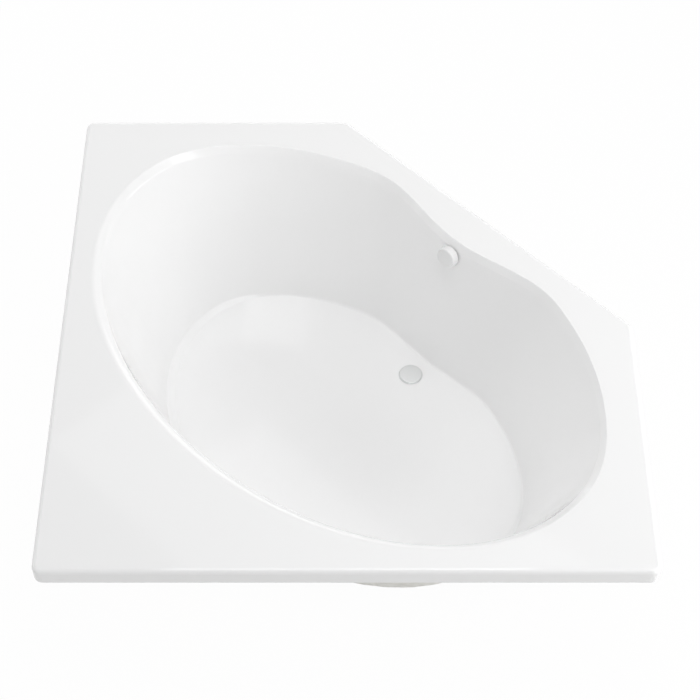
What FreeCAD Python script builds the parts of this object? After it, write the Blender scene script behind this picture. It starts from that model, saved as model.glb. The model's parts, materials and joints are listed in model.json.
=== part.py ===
import FreeCAD
import Part
import math
import os

# Five-sided corner soaking bath: a formed acrylic shell on a base board, two leg rails and four
# levelling feet, with a cable-worked pop-up waste and overflow. Millimetres, +Z up.
# The feet stand on Z = 0, and the origin is below the middle of the square that the deck is cut from.
# Everything is modelled in a frame turned TURN degrees about Z, with +x towards the angled side and
# y = 0 on the plane of symmetry, and is turned back when it is written.

Vector = FreeCAD.Vector
TURN = 45.0
UP = Vector(0, 0, 1)
DOWN = Vector(0, 0, -1)
TO_FRONT = Vector(1, 0, 0)
TO_BACK = Vector(-1, 0, 0)
SIDES = (-1, 1)

# Deck: a square with one corner cut off, and a turned-down lip.
DECK_SIDE = 1524.0
DECK_CUT = 762.0
DECK_CORNER_R = 25.0
DECK_ANGLE_R = 50.0
LIP_HEIGHT = 49.0
LIP_EDGE_R = 12.0
SKIN = 5.0
BACKING = 4.0
BACKING_INSET = 14.0

# Bowl: two half ellipses with a waist pressed into the front one, at the deck and at the floor.
# The ledges are the deck's least widths beside the walls, the open sides and the angled side,
# the last one without the waist. The runs are how far the wall leans in down to the floor.
BOWL_DEPTH = 473.0
OUTLINE_POINTS = 40
WALL_LEDGE = 81.0
OPEN_LEDGE = 101.0
ANGLED_LEDGE = 40.8
RIM_WAIST = 79.0
RIM_WAIST_HALF = 365.0
BACK_RUN = 101.0
FRONT_RUN = 126.0
SIDE_RUN = 203.0
FLOOR_WAIST = 36.0
FLOOR_WAIST_HALF = 265.0
RIM_R = 20.0
FLOOR_R = 32.0

# Timber below the deck and the floor.
BATTEN_WIDTH = 40.0
BATTEN_HEIGHT = 18.0
BATTEN_GAP = 4.0
BATTEN_END = 62.0
BOARD = 18.0
BOARD_INSET = 60.0
BOARD_NOTCH_R = 70.0

# Leg rails: hat sections across the base board, screwed through their flanges.
RAIL_CLEAR = 65.0
RAIL_DEPTH = 35.0
RAIL_WEB = 50.0
RAIL_FLANGE = 22.0
RAIL_WALL = 2.5
RAIL_FROM_NOTCH = 60.0
REAR_RAIL_SHARE = 0.3
RAIL_END_GAP = 50.0
SCREW_R = 2.0
SCREW_LENGTH = 14.0
SCREW_HEAD_R = 4.2
SCREW_HEAD = 2.4
SCREW_END = 30.0
SCREWS_ALONG = 3

# Levelling feet: pad, threaded stud with a spanner collar, weld nut and lock nut.
FOOT_FROM_END = 50.0
PAD_R = 26.0
PAD_TOP_R = 14.0
PAD_EDGE = 5.0
PAD_HEIGHT = 14.0
PAD_SOCKET = 8.0
STUD_R = 6.0
STUD_TOP = 85.0
COLLAR_FLATS = 17.0
COLLAR_HEIGHT = 6.0
NUT_FLATS = 19.0
WELD_NUT = 10.0
LOCK_NUT = 6.0

# Clearances, all on the radius.
THREAD_GAP = 0.15
TURNING_GAP = 0.3
RUNNING_GAP = 0.08
SEATED_GAP = 0.2

# Waste pipes, sockets and slip nuts.
PIPE_R = 19.05
PIPE_WALL = 1.6
SOCKET_R = 23.0
SOCKET_DEPTH = 25.0
PIPE_STOP = 3.0
NUT_R = 27.5
NUT_BACK = 12.0
NUT_FRONT = 4.0
WASHER = 4.0
NUT_LUGS = 10
NUT_LUG_R = 2.0

# Drain in the bowl floor.
DRAIN_FROM_WAIST = 72.0
DRAIN_HOLE_R = 26.0
DRAIN_R = 35.0
DRAIN_FLANGE = 2.0
DRAIN_EDGE_R = 1.2
DRAIN_TUBE_R = 24.0
DRAIN_BORE_R = 21.0
DRAIN_TUBE = 26.0
SPIDER_BAR = 4.0
SPIDER_BOSS_R = 7.0
GASKET = 3.0
SHOE_FLANGE_R = 38.0
SHOE_FLANGE = 5.0
SHOE_WALL = 4.5
SHOE_OUTLET_DROP = 45.0
SHOE_FLOOR_GAP = 2.5
SHOE_OUTLET = 55.0
GLAND_R = 7.0
GLAND = 10.0

# Pop-up plug and the pin that lifts it.
PLUG_R = 33.0
PLUG_GAP = 0.5
PLUG_CAP = 4.0
PLUG_EDGE_R = 3.0
PLUG_HUB_R = 16.0
PLUG_LIP_R = 19.0
PLUG_LIP = 3.0
PLUG_HUB = 5.0
SEAL_GAP = 0.4
SEAL_TOP_GAP = 0.5
STEM_R = 4.0
STEM_BELOW_OUTLET = 5.0
PIN_R = 3.0
PIN_END_GAP = 2.0

# Overflow in the waist wall, square to the wall.
OVERFLOW_DEPTH = 52.0
OVERFLOW_HOLE_R = 22.0
FLANGE_R = 26.0
FLANGE = 3.0
FLANGE_SEAT = 0.3
COLLAR_R = 20.5
COLLAR_BORE_R = 18.0
COLLAR = 13.0
CROSS_BAR = 10.0
BEARING_R = 8.0
BEARING = 6.0
FLANGE_SCREW_Y = 12.5
FLANGE_SCREW_R = 2.0
FLANGE_SCREW = 26.0
FLANGE_SCREW_HEAD_R = 3.6
FLANGE_SCREW_HEAD = 2.0
OVERFLOW_GASKET_R = 30.0
OVERFLOW_GASKET = 5.0
GASKET_BITE = 2.0
ELBOW_FLANGE_R = 32.0
ELBOW_FLANGE = 4.0
ELBOW_R = 28.0
ELBOW_WALL = 4.0
ELBOW_LENGTH = 50.0
POST_R = 4.0
POST_GAP = 3.0
OVERFLOW_PIPE_BEHIND = 40.0
OVERFLOW_SOCKET_DROP = 65.0

# Overflow knob and its spindle.
KNOB_R = 30.5
KNOB_REACH = 25.0
KNOB_STANDOFF = 3.5
KNOB_FACE = 4.0
KNOB_WALL = 3.0
KNOB_EDGE_R = 2.5
KNOB_HUB_R = 9.0
KNOB_HUB = 9.0
SPINDLE_R = 5.0
CRANK_AT = 20.0
CRANK = 4.0
CRANK_ARM = 15.0
CRANK_WIDTH = 6.0
CRANK_REST = 45.0

# Waste tee below the overflow, and the tail pipe.
TEE_INLET = 50.0
TEE_TOP = 50.0
TEE_NUT_GAP = 1.0
TAIL_END = 10.0
TAIL_STOP_R = 21.5
TAIL_STOP = 4.0

# Control cable in its sheath, clipped to the overflow pipe.
SHEATH_R = 4.0
CABLE_Y = 33.0
CABLE_LUG_R = 6.5
CABLE_LUG_WEB = 8.0
CABLE_LUG_DROP = 34.0
CABLE_LOW = 13.0
CABLE_LOW_BEND = 32.0
CABLE_HIGH_BEND = 85.0
CLIP_WALL = 2.5
CLIP_WIDTH = 10.0
CLIP_WEB = 5.0
CLIPS_AT = (0.3, 0.7)

# Bowl outlines that leave the ledges, and what stands on the floor's outline.
HALF_DIAGONAL = DECK_SIDE / math.sqrt(2)
ANGLED_X = HALF_DIAGONAL - DECK_CUT / math.sqrt(2)
RIM_FRONT = ANGLED_X - ANGLED_LEDGE
RIM_SIDE = math.sqrt(2 * (DECK_SIDE / 2 - OPEN_LEDGE) ** 2 - RIM_FRONT ** 2)
RIM_BACK = math.sqrt(2 * (DECK_SIDE / 2 - WALL_LEDGE) ** 2 - RIM_SIDE ** 2)
FLOOR_BACK = RIM_BACK - BACK_RUN
FLOOR_FRONT = RIM_FRONT - FRONT_RUN
FLOOR_SIDE = RIM_SIDE - SIDE_RUN
DRAIN_X = FLOOR_FRONT - FLOOR_WAIST - DRAIN_FROM_WAIST
BOARD_BACK_X = BOARD_INSET - FLOOR_BACK
FRONT_RAIL_X = DRAIN_X - BOARD_NOTCH_R - RAIL_FROM_NOTCH
REAR_RAIL_X = BOARD_BACK_X + (FRONT_RAIL_X - BOARD_BACK_X) * REAR_RAIL_SHARE

# Levels worked out from the sizes above.
RAIL_TOP = RAIL_CLEAR + RAIL_DEPTH
BOARD_TOP = RAIL_TOP + BOARD
FLOOR_Z = BOARD_TOP + BACKING + SKIN
DECK_Z = FLOOR_Z + BOWL_DEPTH
OUTLET_Z = FLOOR_Z - SHOE_OUTLET_DROP
PIPE_BORE_R = PIPE_R - PIPE_WALL
SHOE_FLOOR_Z = OUTLET_Z - PIPE_BORE_R - SHOE_FLOOR_GAP
SHOE_BOTTOM_Z = SHOE_FLOOR_Z - SHOE_WALL
GLAND_Z = SHOE_BOTTOM_Z - GLAND
STEM_Z = OUTLET_Z - STEM_BELOW_OUTLET
WALL_LEAN = (RIM_FRONT - RIM_WAIST - FLOOR_FRONT + FLOOR_WAIST) / BOWL_DEPTH
WALL_ANGLE = math.degrees(math.atan(WALL_LEAN))
OVERFLOW_X = RIM_FRONT - RIM_WAIST - WALL_LEAN * OVERFLOW_DEPTH
OVERFLOW_Z = DECK_Z - OVERFLOW_DEPTH
PIPE_X = OVERFLOW_X + OVERFLOW_PIPE_BEHIND
TEE_BOTTOM = SOCKET_R + NUT_BACK + TEE_NUT_GAP
# Extra length that takes a cutting shape clear of the face it cuts.
OVER = 1.0


def cylinder(radius, base, along, length):
    """Solid cylinder from base, length long in the direction along."""
    return Part.makeCylinder(radius, length, base, along)


def ring(outer, inner, base, along, length):
    """Tube of two radii from base, length long in the direction along."""
    bore = cylinder(inner, base - along * OVER, along, length + 2 * OVER)
    return cylinder(outer, base, along, length).cut(bore)


def hexagon(flats, bore, base, height):
    """Upright hexagonal nut of a width across flats, with a round bore."""
    radius = flats / math.sqrt(3)
    turns = [math.radians(60 * k) for k in range(6)]
    points = [base + Vector(radius * math.cos(a), radius * math.sin(a), 0) for a in turns]
    prism = Part.Face(Part.makePolygon(points + points[:1])).extrude(UP * height)
    return prism.cut(cylinder(bore, base - UP * OVER, UP, height + 2 * OVER))


def turned(profile, centre):
    """Solid of revolution about the upright line through centre, from (radius, height) points."""
    points = [centre + Vector(r, 0, z) for r, z in profile]
    return Part.Face(Part.makePolygon(points + points[:1])).revolve(centre, UP, 360)


def edges_at(shape, z):
    """Edges of a shape that lie in the level plane at height z."""
    near = 1e-4
    boxes = [(e, e.BoundBox) for e in shape.Edges]
    return [e for e, box in boxes if max(abs(box.ZMin - z), abs(box.ZMax - z)) < near]


def deck_face(inset, z):
    """Level face of the deck outline moved in by inset, its corners rounded."""
    half = HALF_DIAGONAL - ANGLED_X
    plan = [
        (-HALF_DIAGONAL, 0, DECK_CORNER_R),
        (0, -HALF_DIAGONAL, DECK_CORNER_R),
        (ANGLED_X, -half, DECK_ANGLE_R),
        (ANGLED_X, half, DECK_ANGLE_R),
        (0, HALF_DIAGONAL, DECK_CORNER_R),
    ]
    corners = [Vector(x, y, z) for x, y, _ in plan]
    arcs = []
    for k, corner in enumerate(corners):
        before = (corners[k - 1] - corner).normalize()
        after = (corners[(k + 1) % len(corners)] - corner).normalize()
        half_angle = before.getAngle(after) / 2
        inward = (before + after).normalize()
        radius = plan[k][2] - inset
        point = corner + inward * (inset / math.sin(half_angle))
        run = radius / math.tan(half_angle)
        middle = point + inward * (radius / math.sin(half_angle) - radius)
        arcs.append(Part.Arc(point + before * run, middle, point + after * run))
    edges = []
    for k, arc in enumerate(arcs):
        following = arcs[(k + 1) % len(arcs)]
        edges.append(arc.toShape())
        edges.append(Part.LineSegment(arc.EndPoint, following.StartPoint).toShape())
    return Part.Face(Part.Wire(edges))


def outline_point(turn, back, front, side, waist, waist_half):
    """Point of a bowl outline at a turn: half ellipses, less a cosine-squared dip at the front."""
    y = side * math.sin(turn)
    if math.cos(turn) <= 0:
        return Vector(back * math.cos(turn), y, 0)
    x = front * math.cos(turn)
    if abs(y) < waist_half:
        x -= waist * math.cos(math.pi * y / (2 * waist_half)) ** 2
    return Vector(x, y, 0)


def rim_point(turn):
    """Point of the outline where the bowl wall would meet the deck."""
    return outline_point(turn, RIM_BACK, RIM_FRONT, RIM_SIDE, RIM_WAIST, RIM_WAIST_HALF)


def floor_point(turn):
    """Point of the outline where the bowl wall would meet the floor."""
    return outline_point(turn, FLOOR_BACK, FLOOR_FRONT, FLOOR_SIDE, FLOOR_WAIST, FLOOR_WAIST_HALF)


def wall_outline(depth, grow):
    """Closed curve round the bowl wall at a depth, moved out from the wall's face by grow."""
    step = 2 * math.pi / OUTLINE_POINTS
    points = []
    for k in range(OUTLINE_POINTS):
        rim = rim_point(k * step)
        floor = floor_point(k * step)
        ahead = rim_point((k + 0.5) * step) - rim_point((k - 0.5) * step)
        outward = Vector(ahead.y, -ahead.x, 0).normalize()
        lean = (rim - floor).dot(outward) / BOWL_DEPTH
        level = rim + (floor - rim) * (depth / BOWL_DEPTH) + UP * (DECK_Z - depth)
        points.append(level + outward * (grow * math.hypot(1, lean)))
    curve = Part.BSplineCurve()
    curve.interpolate(Points=points, PeriodicFlag=True)
    return curve.toShape()


def dish(grow, inset):
    """Space above the bath's top surface moved down by grow, with rounded rim and floor edges."""
    high = wall_outline(grow - SKIN, grow)
    low = wall_outline(BOWL_DEPTH + grow, grow)
    skin = [Part.makeRuledSurface(high, low), Part.Face(Part.Wire(high)), Part.Face(Part.Wire(low))]
    bowl = Part.Solid(Part.Shell(skin))
    if bowl.Volume < 0:
        bowl.reverse()
    plate = deck_face(inset, DECK_Z - grow).extrude(UP * (grow + LIP_HEIGHT))
    space = plate.fuse(bowl).removeSplitter()
    brim = [e for e in edges_at(space, DECK_Z - grow) if e.isClosed()]
    space = space.makeFillet(RIM_R - grow, brim)
    return space.makeFillet(FLOOR_R + grow, edges_at(space, FLOOR_Z - grow))


def overflow_place(shape):
    """Shape modelled on the overflow's axis, +z out through the wall, set in the waist wall."""
    placed = shape.copy()
    turn = FreeCAD.Rotation(Vector(0, 1, 0), 90 + WALL_ANGLE)
    placed.Placement = FreeCAD.Placement(Vector(OVERFLOW_X, 0, OVERFLOW_Z), turn).multiply(shape.Placement)
    return placed


def axis_point(s):
    """Point on the overflow's axis at a distance s behind the inner face of the wall."""
    return Vector(0, 0, s)


def wall_holes():
    """Cutters for the drain hole and the overflow hole."""
    drain = cylinder(DRAIN_HOLE_R, Vector(DRAIN_X, 0, BOARD_TOP - OVER), UP, FLOOR_R)
    overflow = overflow_place(cylinder(OVERFLOW_HOLE_R, axis_point(-RIM_R), UP, 2 * RIM_R))
    return [drain, overflow]


def shell_parts():
    """Acrylic shell, its backing and the overflow gasket that is shaped to the backing."""
    low = DECK_Z - LIP_HEIGHT
    block = deck_face(0, low).extrude(UP * LIP_HEIGHT)
    block = block.makeFillet(LIP_EDGE_R, edges_at(block, DECK_Z))
    hollow = deck_face(SKIN, low).extrude(UP * (LIP_HEIGHT - SKIN))
    hollow = hollow.makeFillet(LIP_EDGE_R - SKIN, edges_at(hollow, DECK_Z - SKIN))
    holes = wall_holes()
    below_skin = dish(SKIN, BACKING_INSET)
    below_backing = dish(SKIN + BACKING, BACKING_INSET)
    shell = block.cut(hollow).fuse(below_skin).cut([dish(0, -LIP_EDGE_R)] + holes)
    backing = below_backing.cut([dish(SKIN, -LIP_EDGE_R)] + holes)
    start = SKIN + BACKING - GASKET_BITE
    length = OVERFLOW_GASKET + GASKET_BITE
    blank = overflow_place(ring(OVERFLOW_GASKET_R, OVERFLOW_HOLE_R, axis_point(start), UP, length))
    return {
        "acrylic_shell": shell.removeSplitter(),
        "glass_fibre_backing": backing.removeSplitter(),
        "overflow_gasket": blank.cut(below_backing),
    }


def batten(start, end):
    """Timber batten along the inside of the lip between two deck corners."""
    along = end - start
    length = along.Length - 2 * BATTEN_END
    box = Part.makeBox(length, BATTEN_WIDTH, BATTEN_HEIGHT)
    box.translate(Vector(BATTEN_END, SKIN + BATTEN_GAP, -BATTEN_HEIGHT))
    turn = FreeCAD.Rotation(UP, math.degrees(math.atan2(along.y, along.x)))
    box.Placement = FreeCAD.Placement(start, turn).multiply(box.Placement)
    return box


def timber_parts():
    """Five rim battens and the base board with its notch round the drain."""
    half = HALF_DIAGONAL - ANGLED_X
    z = DECK_Z - SKIN - BACKING
    wall_corner = Vector(-HALF_DIAGONAL, 0, z)
    right_corner = Vector(0, -HALF_DIAGONAL, z)
    right_angle = Vector(ANGLED_X, -half, z)
    left_angle = Vector(ANGLED_X, half, z)
    left_corner = Vector(0, HALF_DIAGONAL, z)
    board_edge = Part.Wire(wall_outline(DECK_Z - RAIL_TOP, -BOARD_INSET))
    board = Part.Face(board_edge).extrude(UP * BOARD)
    notch = cylinder(BOARD_NOTCH_R, Vector(DRAIN_X, 0, RAIL_TOP - OVER), UP, BOARD + 2 * OVER)
    pilots = [cylinder(SCREW_R + SEATED_GAP, p, UP, SCREW_LENGTH + SEATED_GAP) for p in screw_points()]
    return {
        "rim_batten_front": batten(wall_corner, right_corner),
        "rim_batten_right": batten(right_corner, right_angle),
        "rim_batten_angled": batten(right_angle, left_angle),
        "rim_batten_back": batten(left_angle, left_corner),
        "rim_batten_left": batten(left_corner, wall_corner),
        "base_board": board.cut([notch] + pilots),
    }


def rails():
    """Position across the bath and half length of each leg rail, short of the board's edge."""
    pairs = []
    for x in (REAR_RAIL_X, FRONT_RAIL_X):
        reach = (FLOOR_BACK if x < 0 else FLOOR_FRONT) - BOARD_INSET
        half = (FLOOR_SIDE - BOARD_INSET) * math.sqrt(1 - (x / reach) ** 2)
        pairs.append((x, half - RAIL_END_GAP))
    return pairs


def foot_points():
    """Points on the ground below the four feet."""
    return [Vector(x, side * (half - FOOT_FROM_END), 0) for x, half in rails() for side in SIDES]


def screw_points():
    """Points on the flanges' undersides where the rail screws go up."""
    points = []
    reach = (RAIL_WEB + RAIL_FLANGE) / 2
    for x, half in rails():
        end = half - SCREW_END
        for k in range(SCREWS_ALONG):
            y = -end + 2 * end * k / (SCREWS_ALONG - 1)
            points += [Vector(x + side * reach, y, RAIL_TOP - RAIL_WALL) for side in SIDES]
    return points


def rail(x, half):
    """Hat-section rail with holes for its two studs and its screws."""
    inner = RAIL_WEB / 2 - RAIL_WALL
    outer = RAIL_WEB / 2
    edge = outer + RAIL_FLANGE
    under = RAIL_TOP - RAIL_WALL
    web = RAIL_CLEAR + RAIL_WALL
    right = [(inner, web), (inner, RAIL_TOP), (edge, RAIL_TOP)]
    right += [(edge, under), (outer, under), (outer, RAIL_CLEAR)]
    section = right + [(-a, z) for a, z in reversed(right)]
    points = [Vector(x + a, -half, z) for a, z in section]
    bar = Part.Face(Part.makePolygon(points + points[:1])).extrude(Vector(0, 2 * half, 0))
    through = RAIL_WALL + 2 * OVER
    web_under = UP * (RAIL_CLEAR - OVER)
    studs = [cylinder(STUD_R + TURNING_GAP, p + web_under, UP, through) for p in foot_points()]
    screws = [cylinder(SCREW_R + SEATED_GAP, p - UP * OVER, UP, through) for p in screw_points()]
    return bar.cut(studs + screws)


def rail_screw(point):
    """Pan-head screw up through a rail flange into the base board."""
    head = cylinder(SCREW_HEAD_R, point - UP * SCREW_HEAD, UP, SCREW_HEAD)
    return head.fuse(cylinder(SCREW_R, point, UP, SCREW_LENGTH)).removeSplitter()


def leg_parts():
    """Rails, their screws and nuts, and the four levelling feet."""
    bore = STUD_R + THREAD_GAP
    weld = [hexagon(NUT_FLATS, bore, p + UP * (RAIL_CLEAR + RAIL_WALL), WELD_NUT) for p in foot_points()]
    lock = [hexagon(NUT_FLATS, bore, p + UP * (RAIL_CLEAR - LOCK_NUT), LOCK_NUT) for p in foot_points()]
    rear, front = rails()
    parts = {
        "leg_rail_rear": rail(*rear),
        "leg_rail_front": rail(*front),
        "rail_screws": Part.makeCompound([rail_screw(p) for p in screw_points()]),
        "rail_weld_nuts": Part.makeCompound(weld),
        "foot_lock_nuts": Part.makeCompound(lock),
    }
    seat = PAD_HEIGHT - PAD_SOCKET
    hole = STUD_R + TURNING_GAP
    pad = [(0, 0), (PAD_R, 0), (PAD_R, PAD_EDGE), (PAD_TOP_R, PAD_HEIGHT)]
    pad += [(hole, PAD_HEIGHT), (hole, seat), (0, seat)]
    for number, point in enumerate(foot_points(), start=1):
        collar = hexagon(COLLAR_FLATS, STUD_R, point + UP * PAD_HEIGHT, COLLAR_HEIGHT)
        stud = cylinder(STUD_R, point + UP * seat, UP, STUD_TOP - seat)
        parts["foot_pad_%d" % number] = turned(pad, point)
        parts["foot_stud_%d" % number] = stud.fuse(collar).removeSplitter()
    return parts


def pipe(start, along, length):
    """Plain waste pipe."""
    return ring(PIPE_R, PIPE_BORE_R, start, along, length)


def socket_cutters(end, along, depth):
    """Cutters for a pipe bore, depth long, and the wider socket at its end."""
    wide = cylinder(PIPE_R + SEATED_GAP, end - along * SOCKET_DEPTH, along, SOCKET_DEPTH + OVER)
    return [cylinder(PIPE_BORE_R, end - along * depth, along, depth), wide]


def slip_nut(end, along):
    """Lugged nut over the end of a socket, with a bore for the pipe."""
    back = end - along * NUT_BACK
    length = NUT_BACK + WASHER + NUT_FRONT
    nut = cylinder(NUT_R - NUT_LUG_R / 2, back, along, length)
    across = Vector(-along.z, 0, along.x)
    lugs = []
    for k in range(NUT_LUGS):
        away = FreeCAD.Rotation(along, 360.0 * k / NUT_LUGS).multVec(across) * (NUT_R - NUT_LUG_R)
        lugs.append(cylinder(NUT_LUG_R, back + away, along, length))
    hollow = cylinder(SOCKET_R + SEATED_GAP, back - along * OVER, along, NUT_BACK + WASHER + OVER)
    bore = cylinder(PIPE_R + SEATED_GAP, back, along, length + OVER)
    return nut.fuse(lugs).cut([hollow, bore]).removeSplitter()


def slip_washer(end, along):
    """Sealing washer between a socket's end and its nut."""
    return ring(SOCKET_R, PIPE_R + SEATED_GAP, end, along, WASHER)


def drain_parts():
    """Drain flange, gasket and shoe."""
    top = Vector(DRAIN_X, 0, FLOOR_Z)
    disc = cylinder(DRAIN_R, top, UP, DRAIN_FLANGE)
    disc = disc.makeFillet(DRAIN_EDGE_R, edges_at(disc, FLOOR_Z + DRAIN_FLANGE))
    tube = cylinder(DRAIN_TUBE_R, top - UP * DRAIN_TUBE, UP, DRAIN_TUBE)
    foot = top - UP * DRAIN_TUBE
    through = DRAIN_TUBE + DRAIN_FLANGE + 2 * OVER
    bore = cylinder(DRAIN_BORE_R, foot - UP * OVER, UP, through)
    reach = DRAIN_BORE_R + OVER
    bar = Part.makeBox(2 * reach, SPIDER_BAR, SPIDER_BAR, foot - Vector(reach, SPIDER_BAR / 2, 0))
    cross = bar.copy()
    cross.rotate(foot, UP, 90)
    boss = cylinder(SPIDER_BOSS_R, foot, UP, 2 * SPIDER_BAR)
    guide = cylinder(STEM_R + TURNING_GAP, foot - UP * OVER, UP, 2 * SPIDER_BAR + 2 * OVER)
    flange = disc.fuse(tube).cut(bore).fuse([bar, cross, boss]).cut(guide)
    shoe_top = Vector(DRAIN_X, 0, BOARD_TOP - GASKET)
    depth = shoe_top.z - SHOE_FLOOR_Z
    cup_r = DRAIN_TUBE_R + SEATED_GAP
    end = Vector(DRAIN_X + SHOE_OUTLET, 0, OUTLET_Z)
    shoe = cylinder(SHOE_FLANGE_R, shoe_top - UP * SHOE_FLANGE, UP, SHOE_FLANGE).fuse([
        cylinder(cup_r + SHOE_WALL, Vector(DRAIN_X, 0, SHOE_BOTTOM_Z), UP, depth + SHOE_WALL),
        cylinder(SOCKET_R, Vector(DRAIN_X, 0, OUTLET_Z), TO_FRONT, SHOE_OUTLET),
        cylinder(GLAND_R, Vector(DRAIN_X, 0, GLAND_Z), UP, GLAND + OVER),
    ])
    cuts = socket_cutters(end, TO_FRONT, SHOE_OUTLET)
    cuts.append(cylinder(cup_r, Vector(DRAIN_X, 0, SHOE_FLOOR_Z), UP, depth + OVER))
    cuts.append(cylinder(PIN_R + TURNING_GAP, Vector(DRAIN_X, 0, GLAND_Z - OVER), UP, GLAND + depth))
    return {
        "drain_flange": flange.removeSplitter(),
        "drain_gasket": ring(SHOE_FLANGE_R, DRAIN_HOLE_R, shoe_top, UP, GASKET),
        "drain_shoe": shoe.cut(cuts).removeSplitter(),
    }


def plug_parts():
    """Pop-up plug cap, its seal and stem, and the lift pin below it."""
    seat = Vector(DRAIN_X, 0, FLOOR_Z + DRAIN_FLANGE + PLUG_GAP)
    hub_z = FLOOR_Z - PLUG_HUB
    lip_z = hub_z - PLUG_LIP
    cap = cylinder(PLUG_R, seat, UP, PLUG_CAP)
    cap = cap.makeFillet(PLUG_EDGE_R, edges_at(cap, seat.z + PLUG_CAP))
    hub = cylinder(PLUG_HUB_R, Vector(DRAIN_X, 0, hub_z), UP, seat.z - hub_z)
    lip = cylinder(PLUG_LIP_R, Vector(DRAIN_X, 0, lip_z), UP, PLUG_LIP)
    pin_z = GLAND_Z + PIN_END_GAP
    seal_top = FLOOR_Z - SEAL_TOP_GAP
    seal = ring(DRAIN_BORE_R - SEAL_GAP, PLUG_HUB_R, Vector(DRAIN_X, 0, hub_z), UP, seal_top - hub_z)
    return {
        "plug_cap": cap.fuse([hub, lip]).removeSplitter(),
        "plug_seal": seal,
        "plug_stem": cylinder(STEM_R, Vector(DRAIN_X, 0, STEM_Z), UP, lip_z - STEM_Z),
        "lift_pin": cylinder(PIN_R, Vector(DRAIN_X, 0, pin_z), UP, STEM_Z - pin_z),
    }


def overflow_parts():
    """Overflow flange with its bearing, its screws, and the elbow behind the wall."""
    holes = [Vector(0, side * FLANGE_SCREW_Y, 0) for side in SIDES]
    front = FLANGE + FLANGE_SEAT
    plate = ring(FLANGE_R, COLLAR_BORE_R, axis_point(-front), UP, FLANGE)
    collar = ring(COLLAR_R, COLLAR_BORE_R, axis_point(-FLANGE_SEAT), UP, COLLAR)
    reach = COLLAR_BORE_R + OVER
    bar = Part.makeBox(CROSS_BAR, 2 * reach, FLANGE, Vector(-CROSS_BAR / 2, -reach, -front))
    bearing = cylinder(BEARING_R, axis_point(-BEARING), UP, 2 * BEARING)
    flange = plate.fuse([collar, bar, bearing])
    bores = [cylinder(FLANGE_SCREW_R + SEATED_GAP, p - UP * 2 * FLANGE, UP, 3 * FLANGE) for p in holes]
    bores.append(cylinder(SPINDLE_R + RUNNING_GAP, axis_point(-2 * BEARING), UP, 4 * BEARING))
    screws = []
    for p in holes:
        seat = p - UP * front
        head = cylinder(FLANGE_SCREW_HEAD_R, seat - UP * FLANGE_SCREW_HEAD, UP, FLANGE_SCREW_HEAD)
        shank = cylinder(FLANGE_SCREW_R, seat, UP, FLANGE_SCREW)
        screws.append(overflow_place(head.fuse(shank).removeSplitter()))
    return {
        "overflow_flange": overflow_place(flange.cut(bores).removeSplitter()),
        "overflow_screws": Part.makeCompound(screws),
        "overflow_elbow": overflow_elbow(holes),
    }


def overflow_elbow(holes):
    """Closed chamber behind the wall with screw posts, a downward socket and a cable lug."""
    start = SKIN + BACKING + OVERFLOW_GASKET
    inside = ELBOW_R - ELBOW_WALL
    chamber = cylinder(ELBOW_R, axis_point(start), UP, ELBOW_LENGTH)
    chamber = chamber.fuse(cylinder(ELBOW_FLANGE_R, axis_point(start), UP, ELBOW_FLANGE))
    room = ELBOW_LENGTH - ELBOW_WALL
    void = cylinder(inside, axis_point(start - OVER), UP, room + OVER)
    posts = [cylinder(POST_R, p + UP * (start + POST_GAP), UP, room - POST_GAP + OVER) for p in holes]
    bores = [cylinder(FLANGE_SCREW_R + SEATED_GAP, p, UP, FLANGE_SCREW) for p in holes]
    end = Vector(PIPE_X, 0, OVERFLOW_Z - OVERFLOW_SOCKET_DROP)
    lug = Vector(PIPE_X, CABLE_Y, OVERFLOW_Z - CABLE_LUG_DROP)
    web_at = lug - Vector(CABLE_LUG_WEB / 2, CABLE_Y, 0)
    web = Part.makeBox(CABLE_LUG_WEB, CABLE_Y, CABLE_LUG_DROP, web_at)
    body = overflow_place(chamber).fuse([
        cylinder(SOCKET_R, end, UP, OVERFLOW_SOCKET_DROP),
        cylinder(CABLE_LUG_R, lug, UP, CABLE_LUG_DROP),
        web,
    ])
    body = body.cut([overflow_place(void)] + socket_cutters(end, DOWN, OVERFLOW_SOCKET_DROP))
    body = body.fuse([overflow_place(post) for post in posts])
    return body.cut([overflow_place(bore) for bore in bores]).removeSplitter()


def knob_parts():
    """Cup-shaped overflow knob and the spindle with its crank arm."""
    depth = KNOB_REACH - KNOB_STANDOFF
    cup = cylinder(KNOB_R, axis_point(-KNOB_REACH), UP, depth)
    cup = cup.makeFillet(KNOB_EDGE_R, edges_at(cup, -KNOB_REACH))
    hollow_at = KNOB_FACE - KNOB_REACH
    cup = cup.cut(cylinder(KNOB_R - KNOB_WALL, axis_point(hollow_at), UP, depth))
    hub = cylinder(KNOB_HUB_R, axis_point(hollow_at), UP, KNOB_HUB)
    cup = cup.fuse(hub).cut(cylinder(SPINDLE_R, axis_point(hollow_at), UP, KNOB_HUB + OVER))
    shaft = cylinder(SPINDLE_R, axis_point(hollow_at), UP, CRANK_AT + CRANK - hollow_at)
    arm = Part.makeBox(CRANK_ARM, CRANK_WIDTH, CRANK, Vector(0, -CRANK_WIDTH / 2, CRANK_AT))
    arm.rotate(axis_point(0), UP, CRANK_REST)
    return {
        "overflow_knob": overflow_place(cup.removeSplitter()),
        "knob_spindle": overflow_place(shaft.fuse(arm).removeSplitter()),
    }


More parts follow.
